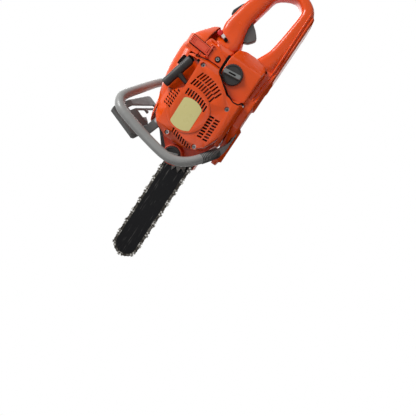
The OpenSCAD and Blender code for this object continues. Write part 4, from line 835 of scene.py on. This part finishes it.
# ---- painted pocket shadows, lower wall and tube sleeve ----
# Black sheet that paints the shade of the hollow in the hood's side behind the pull grip: its upper
# edge is an arch
arch = [[(x, z) for z in (187 - 0.012 * (x + 74) ** 2, 183, 180, 177, 174.5)]
        for x in range(-92, -69, 2)]
hollow_shade = [[(x, facing(x, z, 0.5) + 0.3, z) for x, z in row] +
          [(x, facing(x, z, 0.5) - 2.5, z) for x, z in reversed(row)] for row in arch]
# A black patch paints the shade in the mouth of a second pocket
mouth_shade = terraced((-90, 65.6, 163), 15, 1, [(5, 8, 3, 0), (5, 8, 3, 0.7)])
put("grip_pocket_shadow", skin("grip_pocket_shadow", [hollow_shade]), "gasket_black", "saw")
put("rope_pocket_shadow", skin("rope_pocket_shadow", [mouth_shade]), "gasket_black", "saw")
# The cover's lower wall, which slopes back to the tank's rail
WALL_PROFILE = [(85.0, 23.0), (84.0, 21.3), (74, 19.2), (62.5, 17.4), (60.4, 17.2), (60.4, 23.0)]
wall = [[(x, y, z) for y, z in WALL_PROFILE] for x in range(-68, 29, 4)]
put("cover_lower_wall", skin("cover_lower_wall", [wall]), "orange_plastic", "saw")
# Ribbed rubber sleeve at the lower end of the front handle
SLEEVE_PATH = [(66, 84.5, 29.3), (62, 81, 26.5), (56, 74.5, 22.5), (50, 68, 19), (44.5, 61.5, 15.2),
               (39, 55.5, 12)]
grown("tube_sleeve_ribs", RINGS, SLEEVE_PATH,
      {"Spacing": 3.6 * MM, "Ring Radius": 10.5 * MM, "Bead": 0.8 * MM}, "black_rubber", "saw",
      joined=True)


# ---- camera, light and floor, in metres ----
def look(name, data, place, target, up=Vector((0, 0, 1))):
    """Puts a lamp or camera at place, facing target."""
    obj = placed(name, data)
    back = (place - target).normalized()
    side = up.cross(back).normalized()
    rise = back.cross(side)
    turn = Matrix((side, rise, back)).transposed().to_4x4()
    obj.matrix_world = Matrix.Translation(place) @ turn
    return obj


# The saw hangs nose down before the camera, which stands on its starter side and a little below it
SENSOR = 36.0
FOCAL_SHARE = 350 / 416  # focal length as a share of the view's width
EYE = Vector((0.0276, 0.8065, -0.0613))
FORWARD = Vector((0.1568, -0.9872, 0.0299))
VIEW_UP = Vector((-0.8164, -0.1125, 0.5664))
lens = bpy.data.cameras.new("camera")
lens.sensor_width = SENSOR
lens.lens = SENSOR * FOCAL_SHARE
bpy.context.scene.camera = look("camera", lens, EYE, EYE + FORWARD, VIEW_UP)

LAMP_TARGET = Vector((0, 0, 0.1))


def softbox(name, place, size, watts):
    """A square soft lamp that faces the saw."""
    data = bpy.data.lights.new(name, "AREA")
    data.size = size
    data.energy = watts
    return look(name, data, Vector(place), LAMP_TARGET)


softbox("overhead", (-0.7, 0.9, 1.6), size=0.8, watts=31)
softbox("front_fill", (0.5, 2.0, 0.6), size=1.2, watts=4)
softbox("back_fill", (-0.4, -1.8, 1.0), size=1.5, watts=14)


def studio():
    """White surroundings: plain white where they are seen, and a weaker fill where they light."""
    fill, white = 0.17, 1.0
    world = bpy.data.worlds.new("studio")
    bpy.context.scene.world = world
    world.use_nodes = True
    sky = world.node_tree
    rays = add(sky, "ShaderNodeLightPath")
    seen = add(sky, "ShaderNodeMath", {"operation": "MAXIMUM"},
               {0: rays.outputs["Is Camera Ray"], 1: rays.outputs["Is Glossy Ray"]})
    mirrored = add(sky, "ShaderNodeMath", {"operation": "MAXIMUM"},
                   {0: seen.outputs[0], 1: rays.outputs["Is Transmission Ray"]})
    level = add(sky, "ShaderNodeMapRange", {"To Min": fill, "To Max": white},
                {"Value": mirrored.outputs[0]})
    backdrop = sky.nodes["Background"]
    backdrop.inputs["Color"].default_value = (1, 1, 1, 1)
    sky.links.new(level.outputs["Result"], backdrop.inputs["Strength"])


def floor():
    """White paper that the saw stands on. It is clear from below, where the camera is, and fades
    into the white backdrop away from the saw."""
    reach = 20.0
    fade_from, fade_to = 0.5, 1.3
    glow_strength = 0.25
    mesh = bpy.data.meshes.new("floor")
    mesh.from_pydata([(-reach, -reach, 0), (reach, -reach, 0), (reach, reach, 0),
                      (-reach, reach, 0)], [], [(0, 1, 2, 3)])
    obj = placed("floor", mesh)
    made, tree, shader, place = finish_of("white_paper_floor", "#F2F2F2", {"Roughness": 0.9})
    below = add(tree, "ShaderNodeNewGeometry").outputs["Backfacing"]
    clear = add(tree, "ShaderNodeBsdfTransparent")
    # What rests on the paper is lit as softly from below as if it hung free
    bounce = add(tree, "ShaderNodeLightPath").outputs["Is Diffuse Ray"]
    glow = add(tree, "ShaderNodeEmission", {"Strength": glow_strength})
    lit = add(tree, "ShaderNodeMixShader", None, {0: bounce, 1: shader.outputs["BSDF"],
                                                  2: glow.outputs["Emission"]})
    away = add(tree, "ShaderNodeVectorMath", {"operation": "LENGTH"}, {0: place})
    faded = add(tree, "ShaderNodeMapRange", {"From Min": fade_from, "From Max": fade_to},
                {"Value": away.outputs["Value"]})
    gone = add(tree, "ShaderNodeMath", {"operation": "MAXIMUM"},
               {0: below, 1: faded.outputs["Result"]})
    paper = add(tree, "ShaderNodeMixShader", None, {0: gone.outputs[0], 1: lit.outputs["Shader"],
                                                    2: clear.outputs["BSDF"]})
    tree.links.new(paper.outputs["Shader"], tree.nodes["Material Output"].inputs["Surface"])
    mesh.materials.append(made)


studio()
floor()
bpy.context.scene.view_settings.view_transform = "Standard"
